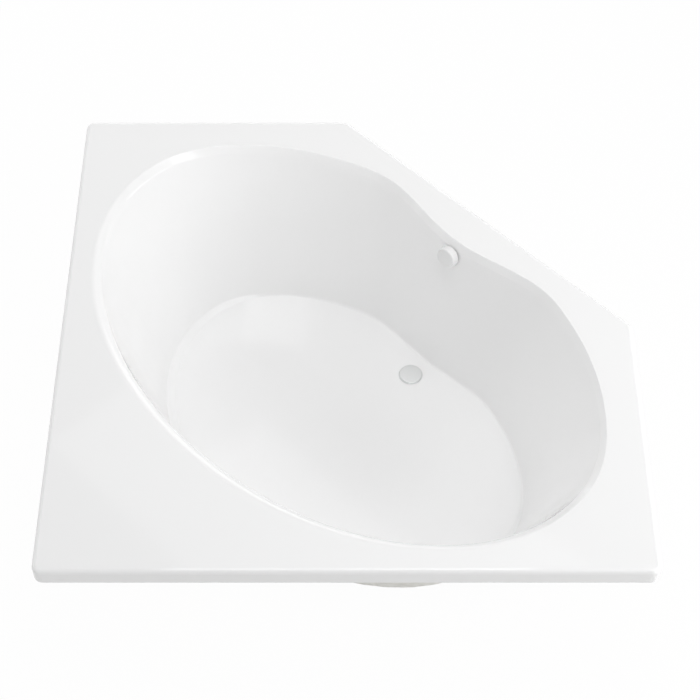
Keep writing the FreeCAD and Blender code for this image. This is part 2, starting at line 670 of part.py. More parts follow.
def waste_parts():
    """Tee, three pipes, and the slip nuts and washers at every socket."""
    centre = Vector(PIPE_X, 0, OUTLET_Z)
    shoe_end = Vector(DRAIN_X + SHOE_OUTLET, 0, OUTLET_Z)
    inlet = centre + TO_BACK * TEE_INLET
    top = centre + UP * TEE_TOP
    bottom = centre + DOWN * TEE_BOTTOM
    elbow_end = Vector(PIPE_X, 0, OVERFLOW_Z - OVERFLOW_SOCKET_DROP)
    tee = cylinder(SOCKET_R, bottom, UP, TEE_TOP + TEE_BOTTOM)
    tee = tee.fuse(cylinder(SOCKET_R, inlet, TO_FRONT, TEE_INLET))
    tee = tee.cut(socket_cutters(inlet, TO_BACK, TEE_INLET) + socket_cutters(top, UP, TEE_TOP))
    tee = tee.cut(socket_cutters(bottom, DOWN, TEE_BOTTOM))
    deep = SOCKET_DEPTH - PIPE_STOP
    tail_top = bottom.z + deep
    stop_z = bottom.z - WASHER - NUT_FRONT - TAIL_STOP
    tail = pipe(Vector(PIPE_X, 0, TAIL_END), UP, tail_top - TAIL_END)
    stop = ring(TAIL_STOP_R, PIPE_R, Vector(PIPE_X, 0, stop_z), UP, TAIL_STOP)
    sockets = {
        "slip_nut_shoe": (shoe_end, TO_FRONT),
        "slip_nut_tee_inlet": (inlet, TO_BACK),
        "slip_nut_tee_top": (top, UP),
        "slip_nut_tail": (bottom, DOWN),
        "slip_nut_overflow": (elbow_end, DOWN),
    }
    parts = {
        "waste_tee": tee.removeSplitter(),
        "waste_pipe": pipe(shoe_end + TO_BACK * deep, TO_FRONT, inlet.x - shoe_end.x + 2 * deep),
        "overflow_pipe": pipe(top + DOWN * deep, UP, elbow_end.z - top.z + 2 * deep),
        "tail_pipe": tail.fuse(stop).removeSplitter(),
        "slip_washers": Part.makeCompound([slip_washer(end, along) for end, along in sockets.values()]),
    }
    for name, (end, along) in sockets.items():
        parts[name] = slip_nut(end, along)
    return parts


def bend(before, corner, after, radius):
    """Arc of a radius that rounds a corner of a route."""
    back = (before - corner).normalize()
    on = (after - corner).normalize()
    half_angle = back.getAngle(on) / 2
    run = radius / math.tan(half_angle)
    inward = (back + on).normalize()
    middle = corner + inward * (radius / math.sin(half_angle) - radius)
    return Part.Arc(corner + back * run, middle, corner + on * run)


def cable_parts():
    """Sheath from the elbow's lug down the overflow pipe to the shoe's gland, and its clips."""
    high = Vector(PIPE_X, CABLE_Y, OVERFLOW_Z - CABLE_LUG_DROP)
    corner = Vector(PIPE_X, CABLE_Y, CABLE_LOW)
    below = Vector(DRAIN_X, 0, CABLE_LOW)
    gland = Vector(DRAIN_X, 0, GLAND_Z)
    first = bend(high, corner, below, CABLE_HIGH_BEND)
    second = bend(corner, below, gland, CABLE_LOW_BEND)
    route = Part.Wire([
        Part.LineSegment(high, first.StartPoint).toShape(),
        first.toShape(),
        Part.LineSegment(first.EndPoint, second.StartPoint).toShape(),
        second.toShape(),
        Part.LineSegment(second.EndPoint, gland).toShape(),
    ])
    section = Part.Wire(Part.Circle(high, UP, SHEATH_R).toShape())
    sheath = route.makePipeShell([section], True, False)
    top = OVERFLOW_Z - OVERFLOW_SOCKET_DROP
    bottom = OUTLET_Z + TEE_TOP
    clips = [clip(bottom + (top - bottom) * share) for share in CLIPS_AT]
    return {"cable_sheath": sheath, "cable_clips": Part.makeCompound(clips)}


def clip(z):
    """Clip that holds the sheath to the overflow pipe at a height."""
    pipe_at = Vector(PIPE_X, 0, z)
    sheath_at = Vector(PIPE_X, CABLE_Y, z)
    body = cylinder(PIPE_R + CLIP_WALL, pipe_at, UP, CLIP_WIDTH).fuse([
        cylinder(SHEATH_R + CLIP_WALL, sheath_at, UP, CLIP_WIDTH),
        Part.makeBox(CLIP_WEB, CABLE_Y, CLIP_WIDTH, pipe_at - Vector(CLIP_WEB / 2, 0, 0)),
    ])
    holes = [
        cylinder(PIPE_R + SEATED_GAP, pipe_at - UP * OVER, UP, CLIP_WIDTH + 2 * OVER),
        cylinder(SHEATH_R + SEATED_GAP, sheath_at - UP * OVER, UP, CLIP_WIDTH + 2 * OVER),
    ]
    return body.cut(holes).removeSplitter()


def main():
    """Build every piece, turn it to the walls and write it."""
    os.makedirs("parts", exist_ok=True)
    parts = {}
    for group in (shell_parts, timber_parts, leg_parts, drain_parts, plug_parts,
                  overflow_parts, knob_parts, waste_parts, cable_parts):
        parts.update(group())
    for name, shape in parts.items():
        shape.rotate(Vector(0, 0, 0), UP, TURN)
        shape.exportStep("parts/%s.step" % name)
        print(name, len(shape.Solids), shape.isValid(), round(shape.Volume))


main()
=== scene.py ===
"""Five-sided corner soaking bath: the formed shell, its frame, its pop-up waste and a studio to show them in.

Every length is in metres. The plan of the bath is worked out in its own frame, with +x towards the angled
side and y = 0 on the plane of symmetry, and is turned an eighth of a turn about Z to stand in the corner.
"""
from __future__ import annotations

import json
import logging
import math
from dataclasses import dataclass, field
from enum import Enum
from functools import lru_cache
from typing import Iterable, Sequence

import bmesh
import bpy
import numpy as np
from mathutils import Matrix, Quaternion, Vector


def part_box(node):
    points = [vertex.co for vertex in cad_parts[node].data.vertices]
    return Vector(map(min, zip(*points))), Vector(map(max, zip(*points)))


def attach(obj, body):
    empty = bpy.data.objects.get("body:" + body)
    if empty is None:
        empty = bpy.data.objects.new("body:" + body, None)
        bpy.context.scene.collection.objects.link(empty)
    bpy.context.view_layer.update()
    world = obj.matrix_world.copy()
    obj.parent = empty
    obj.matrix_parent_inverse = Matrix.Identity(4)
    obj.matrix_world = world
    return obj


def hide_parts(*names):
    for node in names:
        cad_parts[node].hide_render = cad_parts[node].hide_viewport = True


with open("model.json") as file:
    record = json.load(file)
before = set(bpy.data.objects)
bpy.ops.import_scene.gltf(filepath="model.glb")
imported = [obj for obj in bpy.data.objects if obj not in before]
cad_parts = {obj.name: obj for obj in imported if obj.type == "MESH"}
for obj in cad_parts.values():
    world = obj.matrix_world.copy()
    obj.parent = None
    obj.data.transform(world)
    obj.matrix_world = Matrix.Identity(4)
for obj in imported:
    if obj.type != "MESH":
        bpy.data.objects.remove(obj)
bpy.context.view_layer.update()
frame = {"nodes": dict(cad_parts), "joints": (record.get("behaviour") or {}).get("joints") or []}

LOG = logging.getLogger("bath")
MM = 0.001
TURN = math.radians(45.0)
UP = np.array([0.0, 0.0, 1.0])
WELD = 1e-7  # points nearer than this become one
SHARP_DEG = 40.0
NOISE = "ShaderNodeTexNoise"
NOISE_ROUGHNESS = 0.55
WAVE_PERIOD = 0.32  # about the width of a wave texture's band at a scale of 1
WHITE = "#ffffff"
Array = np.ndarray
Tree = bpy.types.NodeTree
Socket = bpy.types.NodeSocket
Stops = tuple[tuple[float, str], ...]


class Ring(Enum):
    """Which ways a grid of points closes on itself."""

    OPEN = (False, False)
    ROUND = (False, True)
    TORUS = (True, True)


class Grain(Enum):
    """Which way a timber's grain runs, as a turn about Z."""

    ALONG_X = 0.0
    ALONG_Y = 90.0
    ALONG_ANGLED_SIDE = 135.0


def linear(hex_colour: str) -> tuple[float, float, float, float]:
    """Turns an sRGB hex colour into the linear colour that a shader takes, by the sRGB curve.

    Args:
        hex_colour: six hex digits after a hash sign.

    Returns:
        Linear red, green, blue and an alpha of 1.
    """
    parts = np.array([int(hex_colour[k:k + 2], 16) for k in (1, 3, 5)]) / 255.0
    curve = np.where(parts <= 0.04045, parts / 12.92, ((parts + 0.055) / 1.055) ** 2.4)
    return (*map(float, curve), 1.0)


def add_node(tree: Tree, kind: str, inputs: dict | None = None, **settings) -> bpy.types.Node:
    """Adds a shader node, sets its properties, and fills or links its inputs.

    Args:
        tree: node tree that gets the node.
        kind: type name of the node.
        inputs: a value, or an output socket to link, for each input's name or number.
        settings: properties of the node.

    Returns:
        The new node.
    """
    made = tree.nodes.new(kind)
    for name, value in settings.items():
        setattr(made, name, value)
    for name, value in (inputs or {}).items():
        if isinstance(value, Socket):
            tree.links.new(value, made.inputs[name])
        else:
            made.inputs[name].default_value = value
    return made


def lumps_of(place: Socket, size_mm: float, detail: float = 2.0) -> dict:
    """Inputs of a noise texture whose lumps are a real size across."""
    return {"Vector": place, "Scale": 1.0 / (size_mm * MM), "Detail": detail, "Roughness": NOISE_ROUGHNESS}


@dataclass(frozen=True)
class Pattern:
    """What drives a finish's pattern.

    Attributes:
        height: raises its relief.
        gloss: varies its roughness, where that varies.
        shade: picks its colour, where it has several.
    """

    height: Socket
    gloss: Socket | None = None
    shade: Socket | None = None


@dataclass(frozen=True)
class Finish:
    """A finish that pieces are dressed in: a named material with a Principled shader.

    Attributes:
        label: the material's name.
        colour: its sRGB colour.
        roughness: how far its reflections spread.
        ior: index of refraction, for what isn't metal.
        metallic: 1 for a metal.
        depth_mm: the full swing of its relief.
        sheen: the least and the most of its roughness, as shares of it.
        shades: position and sRGB colour of each stop, where it has several colours.
    """

    label: str
    colour: str
    roughness: float
    ior: float = 1.5
    metallic: float = 0.0
    depth_mm: float = 0.02
    sheen: tuple[float, float] = (0.85, 1.15)
    shades: Stops = ()

    def material(self) -> bpy.types.Material:
        """Gives the finish's material, and makes it the first time.

        Returns:
            The material, with its relief, gloss and colours driven by the finish's own pattern.
        """
        known = bpy.data.materials.get(self.label)
        if known is not None:
            return known
        made = bpy.data.materials.new(self.label)
        made.use_nodes = True
        made.diffuse_color = linear(self.colour)
        tree = made.node_tree
        shader = tree.nodes["Principled BSDF"].inputs
        shader["Base Color"].default_value = linear(self.colour)
        shader["Roughness"].default_value = self.roughness
        shader["Metallic"].default_value = self.metallic
        if not self.metallic:
            shader["IOR"].default_value = self.ior
        pattern = self.pattern(tree, add_node(tree, "ShaderNodeTexCoord").outputs["Object"])
        relief = {"Height": pattern.height, "Distance": self.depth_mm * MM, "Strength": 1.0}
        tree.links.new(add_node(tree, "ShaderNodeBump", relief).outputs["Normal"], shader["Normal"])
        if pattern.gloss is not None:
            low, high = (self.roughness * share for share in self.sheen)
            ends = {"Value": pattern.gloss, "To Min": low, "To Max": high}
            spread = add_node(tree, "ShaderNodeMapRange", ends)
            tree.links.new(spread.outputs["Result"], shader["Roughness"])
        if pattern.shade is not None:
            ramp = add_node(tree, "ShaderNodeValToRGB", {"Fac": pattern.shade})
            stops = ramp.color_ramp.elements
            for place, (position, colour) in enumerate(self.shades):
                stop = stops[place] if place < 2 else stops.new(position)
                stop.position = position
                stop.color = linear(colour)
            tree.links.new(ramp.outputs["Color"], shader["Base Color"])
        return made

    def pattern(self, tree: Tree, place: Socket) -> Pattern:
        """Adds the nodes of the finish's own pattern; each finish has its own.

        Args:
            tree: the material's node tree.
            place: Object coordinates, in metres.

        Returns:
            What drives the relief, the gloss and the colour.
        """
        raise NotImplementedError


@dataclass(frozen=True)
class ThermoformedAcrylic(Finish):
    """Cast acrylic sheet drawn hot over a mould: a deep even white with wet, slightly rippled reflections."""

    depth_mm: float = 0.05
    sheen: tuple[float, float] = (0.8, 1.2)
    ripple_mm: float = 90.0

    def pattern(self, tree: Tree, place: Socket) -> Pattern:
        """Adds the long shallow ripple of a drawn sheet and a trace of uneven gloss."""
        ripple = add_node(tree, NOISE, lumps_of(place, self.ripple_mm, 1.0)).outputs["Fac"]
        return Pattern(ripple, add_node(tree, NOISE, lumps_of(place, self.ripple_mm * 2.0)).outputs["Fac"])


@dataclass(frozen=True)
class SprayedLaminate(Finish):
    """Chopped glass strands sprayed with white polyester resin and rolled: off-white, matt and fibrous."""

    depth_mm: float = 0.7
    sheen: tuple[float, float] = (0.75, 1.2)
    shades: Stops = ((0.25, "#d8d7d0"), (0.5, "#e6e5e0"), (0.75, "#f0f0ec"))
    strand_mm: float = 9.0
    lump_mm: float = 26.0

    def pattern(self, tree: Tree, place: Socket) -> Pattern:
        """Adds the mat of strands, the resin's patchy colour and the rolled lumps.

        Args:
            tree: the material's node tree.
            place: Object coordinates, in metres.

        Returns:
            What drives the relief, the gloss and the colour.
        """
        lumps = add_node(tree, NOISE, lumps_of(place, self.lump_mm, 4.0)).outputs["Fac"]
        cells = {"Vector": place, "Scale": 1.0 / (self.strand_mm * MM)}
        mat = add_node(tree, "ShaderNodeTexVoronoi", cells, feature="DISTANCE_TO_EDGE")
        strands = mat.outputs["Distance"]
        both = add_node(tree, "ShaderNodeMath", {0: lumps, 1: strands}, operation="ADD").outputs["Value"]
        return Pattern(both, strands, lumps)


@dataclass(frozen=True)
class SawnPine(Finish):
    """Sawn softwood batten: straw-coloured, with long growth rings and a furry cross-sawn face."""

    depth_mm: float = 0.25
    shades: Stops = ((0.1, "#dcbf8c"), (0.6, "#d2ad72"), (0.92, "#b58748"))
    grain: Grain = Grain.ALONG_X
    ring_mm: float = 7.0
    length_mm: float = 180.0
    fuzz_share: float = 0.12

    def pattern(self, tree: Tree, place: Socket) -> Pattern:
        """Adds growth rings stretched along the grain, darker late wood and saw fuzz.

        Args:
            tree: the material's node tree.
            place: Object coordinates, in metres.

        Returns:
            What drives the relief, the gloss and the colour.
        """
        turn = {"Vector": place, "Rotation": (0.0, 0.0, -math.radians(self.grain.value))}
        level = add_node(tree, "ShaderNodeMapping", turn).outputs["Vector"]
        stretch = {"Vector": level, "Scale": (self.ring_mm / self.length_mm, 1.0, 1.0)}
        grain = add_node(tree, "ShaderNodeMapping", stretch).outputs["Vector"]
        bands = {"Vector": grain, "Scale": WAVE_PERIOD / (self.ring_mm * MM), "Distortion": 5.0}
        bands |= {"Detail": 3.0, "Detail Scale": 1.5}
        rings = add_node(tree, "ShaderNodeTexWave", bands, bands_direction="DIAGONAL").outputs["Fac"]
        fuzz = add_node(tree, NOISE, lumps_of(grain, self.ring_mm * self.fuzz_share, 3.0)).outputs["Fac"]
        both = add_node(tree, "ShaderNodeMath", {0: rings, 1: fuzz}, operation="ADD").outputs["Value"]
        return Pattern(both, shade=rings)


@dataclass(frozen=True)
class SandedChipboard(Finish):
    """Pressed and sanded chipboard: pale brown flakes of many shades, flat and dry."""

    depth_mm: float = 0.3
    shades: Stops = (
        (0.0, "#8a6a41"), (0.35, "#b08c59"), (0.7, "#c6a574"), (1.0, "#d9c197"),
    )
    flake_mm: float = 5.0

    def pattern(self, tree: Tree, place: Socket) -> Pattern:
        """Adds flakes of several shades and a little relief between them.

        Args:
            tree: the material's node tree.
            place: Object coordinates, in metres.

        Returns:
            What drives the relief, the gloss and the colour.
        """
        cells = {"Vector": place, "Scale": 1.0 / (self.flake_mm * MM), "Randomness": 1.0}
        flakes = add_node(tree, "ShaderNodeTexVoronoi", cells).outputs
        shade = add_node(tree, "ShaderNodeSeparateColor", {"Color": flakes["Color"]}).outputs["Red"]
        return Pattern(flakes["Distance"], shade=shade)


@dataclass(frozen=True)
class ZincPlate(Finish):
    """Bright zinc-plated pressed steel: cool grey metal, cloudy, with softly blurred reflections."""

    sheen: tuple[float, float] = (0.8, 1.3)
    shades: Stops = ((0.3, "#a9adb0"), (0.7, "#c9cccd"))
    cloud_mm: float = 14.0
    mark_mm: float = 0.9

    def pattern(self, tree: Tree, place: Socket) -> Pattern:
        """Adds cloudy plating and fine rolling marks."""
        clouds = add_node(tree, NOISE, lumps_of(place, self.cloud_mm, 3.0)).outputs["Fac"]
        return Pattern(add_node(tree, NOISE, lumps_of(place, self.mark_mm)).outputs["Fac"], clouds, clouds)


@dataclass(frozen=True)
class FineGrained(Finish):
    """A finish of one even colour, with a fine grain and patches of uneven sheen.

    The grain is drawn coarser than a mould's or a tool's real one, so that it shows.
    """

    grain_mm: float = 0.8
    patch_mm: float = 25.0

    def pattern(self, tree: Tree, place: Socket) -> Pattern:
        """Adds the grain and the patches."""
        grain = add_node(tree, NOISE, lumps_of(place, self.grain_mm)).outputs["Fac"]
        return Pattern(grain, add_node(tree, NOISE, lumps_of(place, self.patch_mm)).outputs["Fac"])


@dataclass(frozen=True)
class Moulded(FineGrained):
    """Injection-moulded plastic or rubber: one even colour with the fine grain of the mould's steel."""


@dataclass(frozen=True)
class TurnedMetal(FineGrained):
    """Lathe-turned metal, plated or bare: fine tool marks, a trace of tarnish and soft reflections."""

    metallic: float = 1.0
    depth_mm: float = 0.001
    sheen: tuple[float, float] = (0.85, 1.25)
    grain_mm: float = 0.5
    patch_mm: float = 12.0


ACRYLIC = ThermoformedAcrylic("white_acrylic_thermoformed", "#f8f8f8", 0.05, 1.49)
LAMINATE = SprayedLaminate("glass_fibre_laminate_sprayed", "#e6e5e0", 0.6, 1.55)
CHIPBOARD = SandedChipboard("chipboard_sanded", "#b08c59", 0.8)
STEEL = ZincPlate("steel_zinc_plated", "#c0c3c5", 0.34, metallic=1.0)
PAD_PLASTIC = Moulded("polypropylene_moulded_black", "#1d1d1e", 0.45)
KNOB_PLASTIC = Moulded("abs_moulded_white", "#efefef", 0.16, depth_mm=0.004)
PIPE_PLASTIC = Moulded("polypropylene_moulded_white", "#dedfdf", 0.32)
NUT_PLASTIC = Moulded("polypropylene_moulded_grey", "#c9cbcd", 0.36)
RUBBER = Moulded("rubber_moulded_black", "#161616", 0.7, grain_mm=1.5)
SHEATH = Moulded("cable_sheath_extruded_grey", "#5c5d60", 0.4)
SATIN = TurnedMetal("brass_satin_chromed", "#d3d4d4", 0.34)
BRASS = TurnedMetal("brass_turned", "#c9a55c", 0.3)


def between(start: Array, end: Array, shares: Iterable[float]) -> Array:
    """Rows of points a share of the way from one row to another.

    Args:
        start: points of the first row.
        end: points of the last row.
        shares: share of the way for each row made.

    Returns:
        One row for each share.
    """
    steps = np.asarray(list(shares))[:, None, None]
    return start[None] + (end - start)[None] * steps


def grid_quads(points: Array, ring: Ring) -> Array:
    """Four-sided faces of a grid of points.

    Args:
        points: rows by columns by 3.
        ring: which ways the grid closes.

    Returns:
        Faces as n by 4 indices into the grid's points.
    """
    rows, columns, _ = points.shape
    wrap_rows, wrap_columns = ring.value
    index = np.arange(rows * columns).reshape(rows, columns)
    if wrap_rows:
        index = np.vstack([index, index[:1]])
    if wrap_columns:
        index = np.hstack([index, index[:, :1]])
    corners = [index[:-1, :-1], index[:-1, 1:], index[1:, 1:], index[1:, :-1]]
    return np.stack(corners, axis=-1).reshape(-1, 4)


def grid_piece(name: str, *patches: tuple[Array, Ring], sharp_deg: float = SHARP_DEG) -> bpy.types.Object:
    """Makes one smooth, outward-facing mesh from grids of points, welded where rows or columns meet.

    Args:
        name: the piece's name.
        patches: grids of points, rows by columns by 3, each with the ways it closes.
        sharp_deg: edges that turn by more than this stay sharp.

    Returns:
        The new object, at the origin.
    """
    starts = np.cumsum([0] + [points.shape[0] * points.shape[1] for points, _ in patches])
    spots = np.concatenate([points.reshape(-1, 3) for points, _ in patches])
    quads = np.concatenate([grid_quads(*patch) + start for patch, start in zip(patches, starts)])
    mesh = bpy.data.meshes.new(name)
    mesh.from_pydata(spots.tolist(), [], quads.tolist())
    shape = bmesh.new()
    shape.from_mesh(mesh)
    bmesh.ops.remove_doubles(shape, verts=shape.verts, dist=WELD)
    bmesh.ops.dissolve_degenerate(shape, edges=shape.edges, dist=WELD)
    bmesh.ops.recalc_face_normals(shape, faces=shape.faces)
    shape.to_mesh(mesh)
    shape.free()
    mesh.shade_smooth()
    mesh.set_sharp_from_angle(angle=math.radians(sharp_deg))
    made = bpy.data.objects.new(name, mesh)
    bpy.context.scene.collection.objects.link(made)
    return made


def turned(points: Array, angle: float = TURN) -> Array:
    """Turns points about Z, by default from the bath's own frame to the corner that it stands in.

    Args:
        points: any array whose last axis is x, y, z.
        angle: how far they turn.

    Returns:
        Points of the same shape.
    """
    x = points[..., 0] * math.cos(angle) - points[..., 1] * math.sin(angle)
    y = points[..., 0] * math.sin(angle) + points[..., 1] * math.cos(angle)
    return np.stack([x, y, points[..., 2]], axis=-1)


def own_box(name: str, angle: float = TURN) -> tuple[Array, Array]:
    """Box of a CAD node in a frame turned about Z, by default the bath's own.

    Args:
        name: the CAD node.
        angle: how far the frame is turned.

    Returns:
        The box's low and high corners.
    """
    mesh = frame["nodes"][name].data
    spots = np.empty(len(mesh.vertices) * 3, np.float32)
    mesh.vertices.foreach_get("co", spots)
    own = turned(spots.reshape(-1, 3).astype(float), -angle)
    return own.min(axis=0), own.max(axis=0)


def rest_box(name: str) -> tuple[Array, Array]:
    """Low and high corners of a CAD node at rest."""
    low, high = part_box(name)
    return np.array(low), np.array(high)


def lifted(spot: Array, z: float) -> Array:
    """The point above or below a spot at a height."""
    return np.array([*spot[:2], z])


def joint_line(name: str) -> tuple[Array, Array]:
    """A point on a joint's axis and the axis's unit vector."""
    joint = next(j for j in frame["joints"] if j["name"] == name)
    return np.array(joint["pos_m"]), np.array(joint["axis"])


def all_round(steps: int) -> Array:
    """Angles evenly round a whole turn, from 0."""
    return np.linspace(0.0, 2.0 * math.pi, steps, endpoint=False)


def arc(centre: tuple[float, float], radius: float, start: float, end: float, steps: int) -> Array:
    """Points of an arc: its centre plus its radius times the cosine and the sine of each turn.

    Args:
        centre: the arc's centre.
        radius: its radius.
        start: turn of its first point, in degrees.
        end: turn of its last point.
        steps: how many points it has.

    Returns:
        Points, steps by 2.
    """
    turn = np.radians(np.linspace(start, end, steps))
    return np.array(centre) + radius * np.stack([np.cos(turn), np.sin(turn)], axis=1)


def sized(radius: Array, level: Array) -> Array:
    """Sets radii, rows by steps, beside the height of each row, as revolved takes them."""
    return np.stack([radius, np.broadcast_to(level[:, None], radius.shape)], axis=-1)


def revolved(profile: Array, origin: Array, axis: Array, steps: int = 128) -> Array:
    """Surface of revolution: each (radius, height) of a profile carried round an axis.

    Args:
        profile: rows by 2, or rows by steps by 2 where the section changes round the axis.
        origin: point on the axis where the height is 0.
        axis: unit vector along the axis.
        steps: points round the axis, where the profile is rows by 2.

    Returns:
        Rows by steps by 3.
    """
    if profile.ndim == 2:
        profile = np.repeat(profile[:, None, :], steps, axis=1)
    helper = UP if abs(axis[2]) < 0.9 else np.array([1.0, 0.0, 0.0])
    side = np.cross(helper, axis)
    side = side / np.linalg.norm(side)
    angle = all_round(profile.shape[1])
    spokes = np.cos(angle)[:, None] * side + np.sin(angle)[:, None] * np.cross(axis, side)
    return origin + profile[..., :1] * spokes[None] + profile[..., 1:] * axis


def rounded(corners: Sequence[tuple[float, float, float]], steps: int = 6) -> Array:
    """Profile through corners, each rounded by its own radius.

    Formula: an arc of the radius, tangent to both sides, takes the place of each corner.

    Args:
        corners: (radius, height, rounding) of each corner in order; a rounding of 0 keeps it sharp.
        steps: points in each arc.

    Returns:
        Profile points, n by 2.
    """
    spots = np.array([corner[:2] for corner in corners])
    share = np.linspace(0.0, 1.0, steps)[:, None]
    made = []
    for place, (_, _, fillet) in enumerate(corners):
        spot = spots[place]
        if fillet == 0.0 or place in (0, len(corners) - 1):
            made.append(spot[None])
            continue
        back = (spots[place - 1] - spot) / np.linalg.norm(spots[place - 1] - spot)
        onward = (spots[place + 1] - spot) / np.linalg.norm(spots[place + 1] - spot)
        half = math.acos(float(np.clip(back @ onward, -1.0, 1.0))) / 2.0
        run = fillet / math.tan(half)
        middle = (back + onward) / np.linalg.norm(back + onward)
        centre = spot + middle * (fillet / math.sin(half))
        first = spot + back * run - centre
        last = spot + onward * run - centre
        span = math.pi - 2.0 * half
        bow = np.sin((1.0 - share) * span) * first + np.sin(share * span) * last
        made.append(centre + bow / math.sin(span))
    return np.vstack(made)


def dress(piece: bpy.types.Object, finish: Finish) -> None:
    """Gives a piece one finish all over."""
    piece.data.materials.clear()
    piece.data.materials.append(finish.material())


def dress_nodes(finish: Finish, *names: str) -> None:
    """Gives CAD nodes one finish all over.

    Args:
        finish: what they are dressed in.
        names: the CAD nodes.
    """
    for name in names:
        dress(frame["nodes"][name], finish)
        LOG.info("dressed %s in %s", name, finish.label)


def place_piece(piece: bpy.types.Object, finish: Finish, body: str, node: str) -> None:
    """Dresses a new piece, sets it on its body and lets it stand for a CAD node.

    Args:
        piece: the new object.
        finish: what it is dressed in.
        body: the body that it rides on.
        node: the CAD node that it stands for.
    """
    dress(piece, finish)
    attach(piece, body)
    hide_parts(node)
    LOG.info("built %s: %d faces", piece.name, len(piece.data.polygons))


@dataclass(frozen=True)
class Plan:
    """What the bath's outlines are at each place round it, in its own frame.

    Attributes:
        edge: points of the deck's edge.
        normal: outward normals of that edge.
        rim: points where the bowl wall would meet the deck.
        floor: points where it would meet the floor.
        outward: the wall's outward normals, level.
        lean: how far the wall runs out for each unit that it rises.
        far: 0 at the waist, growing to 1 opposite it.
    """

    edge: Array
    normal: Array
    rim: Array
    floor: Array
    outward: Array
    lean: Array
    far: Array


@dataclass(frozen=True)
class Bend:
    """How a flat bends into the bowl's wall, at places from the waist to the side opposite.

    Attributes:
        flat_mm: radius of the arc next to the flat.
        degrees: steepness of the straight slope between the arcs.
        slope_mm: length of that slope.
        wall_mm: radius of the arc next to the wall.
        far: the places that these are given for, as Plan has them.
    """

    flat_mm: tuple[float, ...]
    degrees: tuple[float, ...]
    slope_mm: tuple[float, ...]
    wall_mm: tuple[float, ...]
    far: tuple[float, ...] = (0.0, 0.22, 0.42, 0.6, 0.8, 1.0)


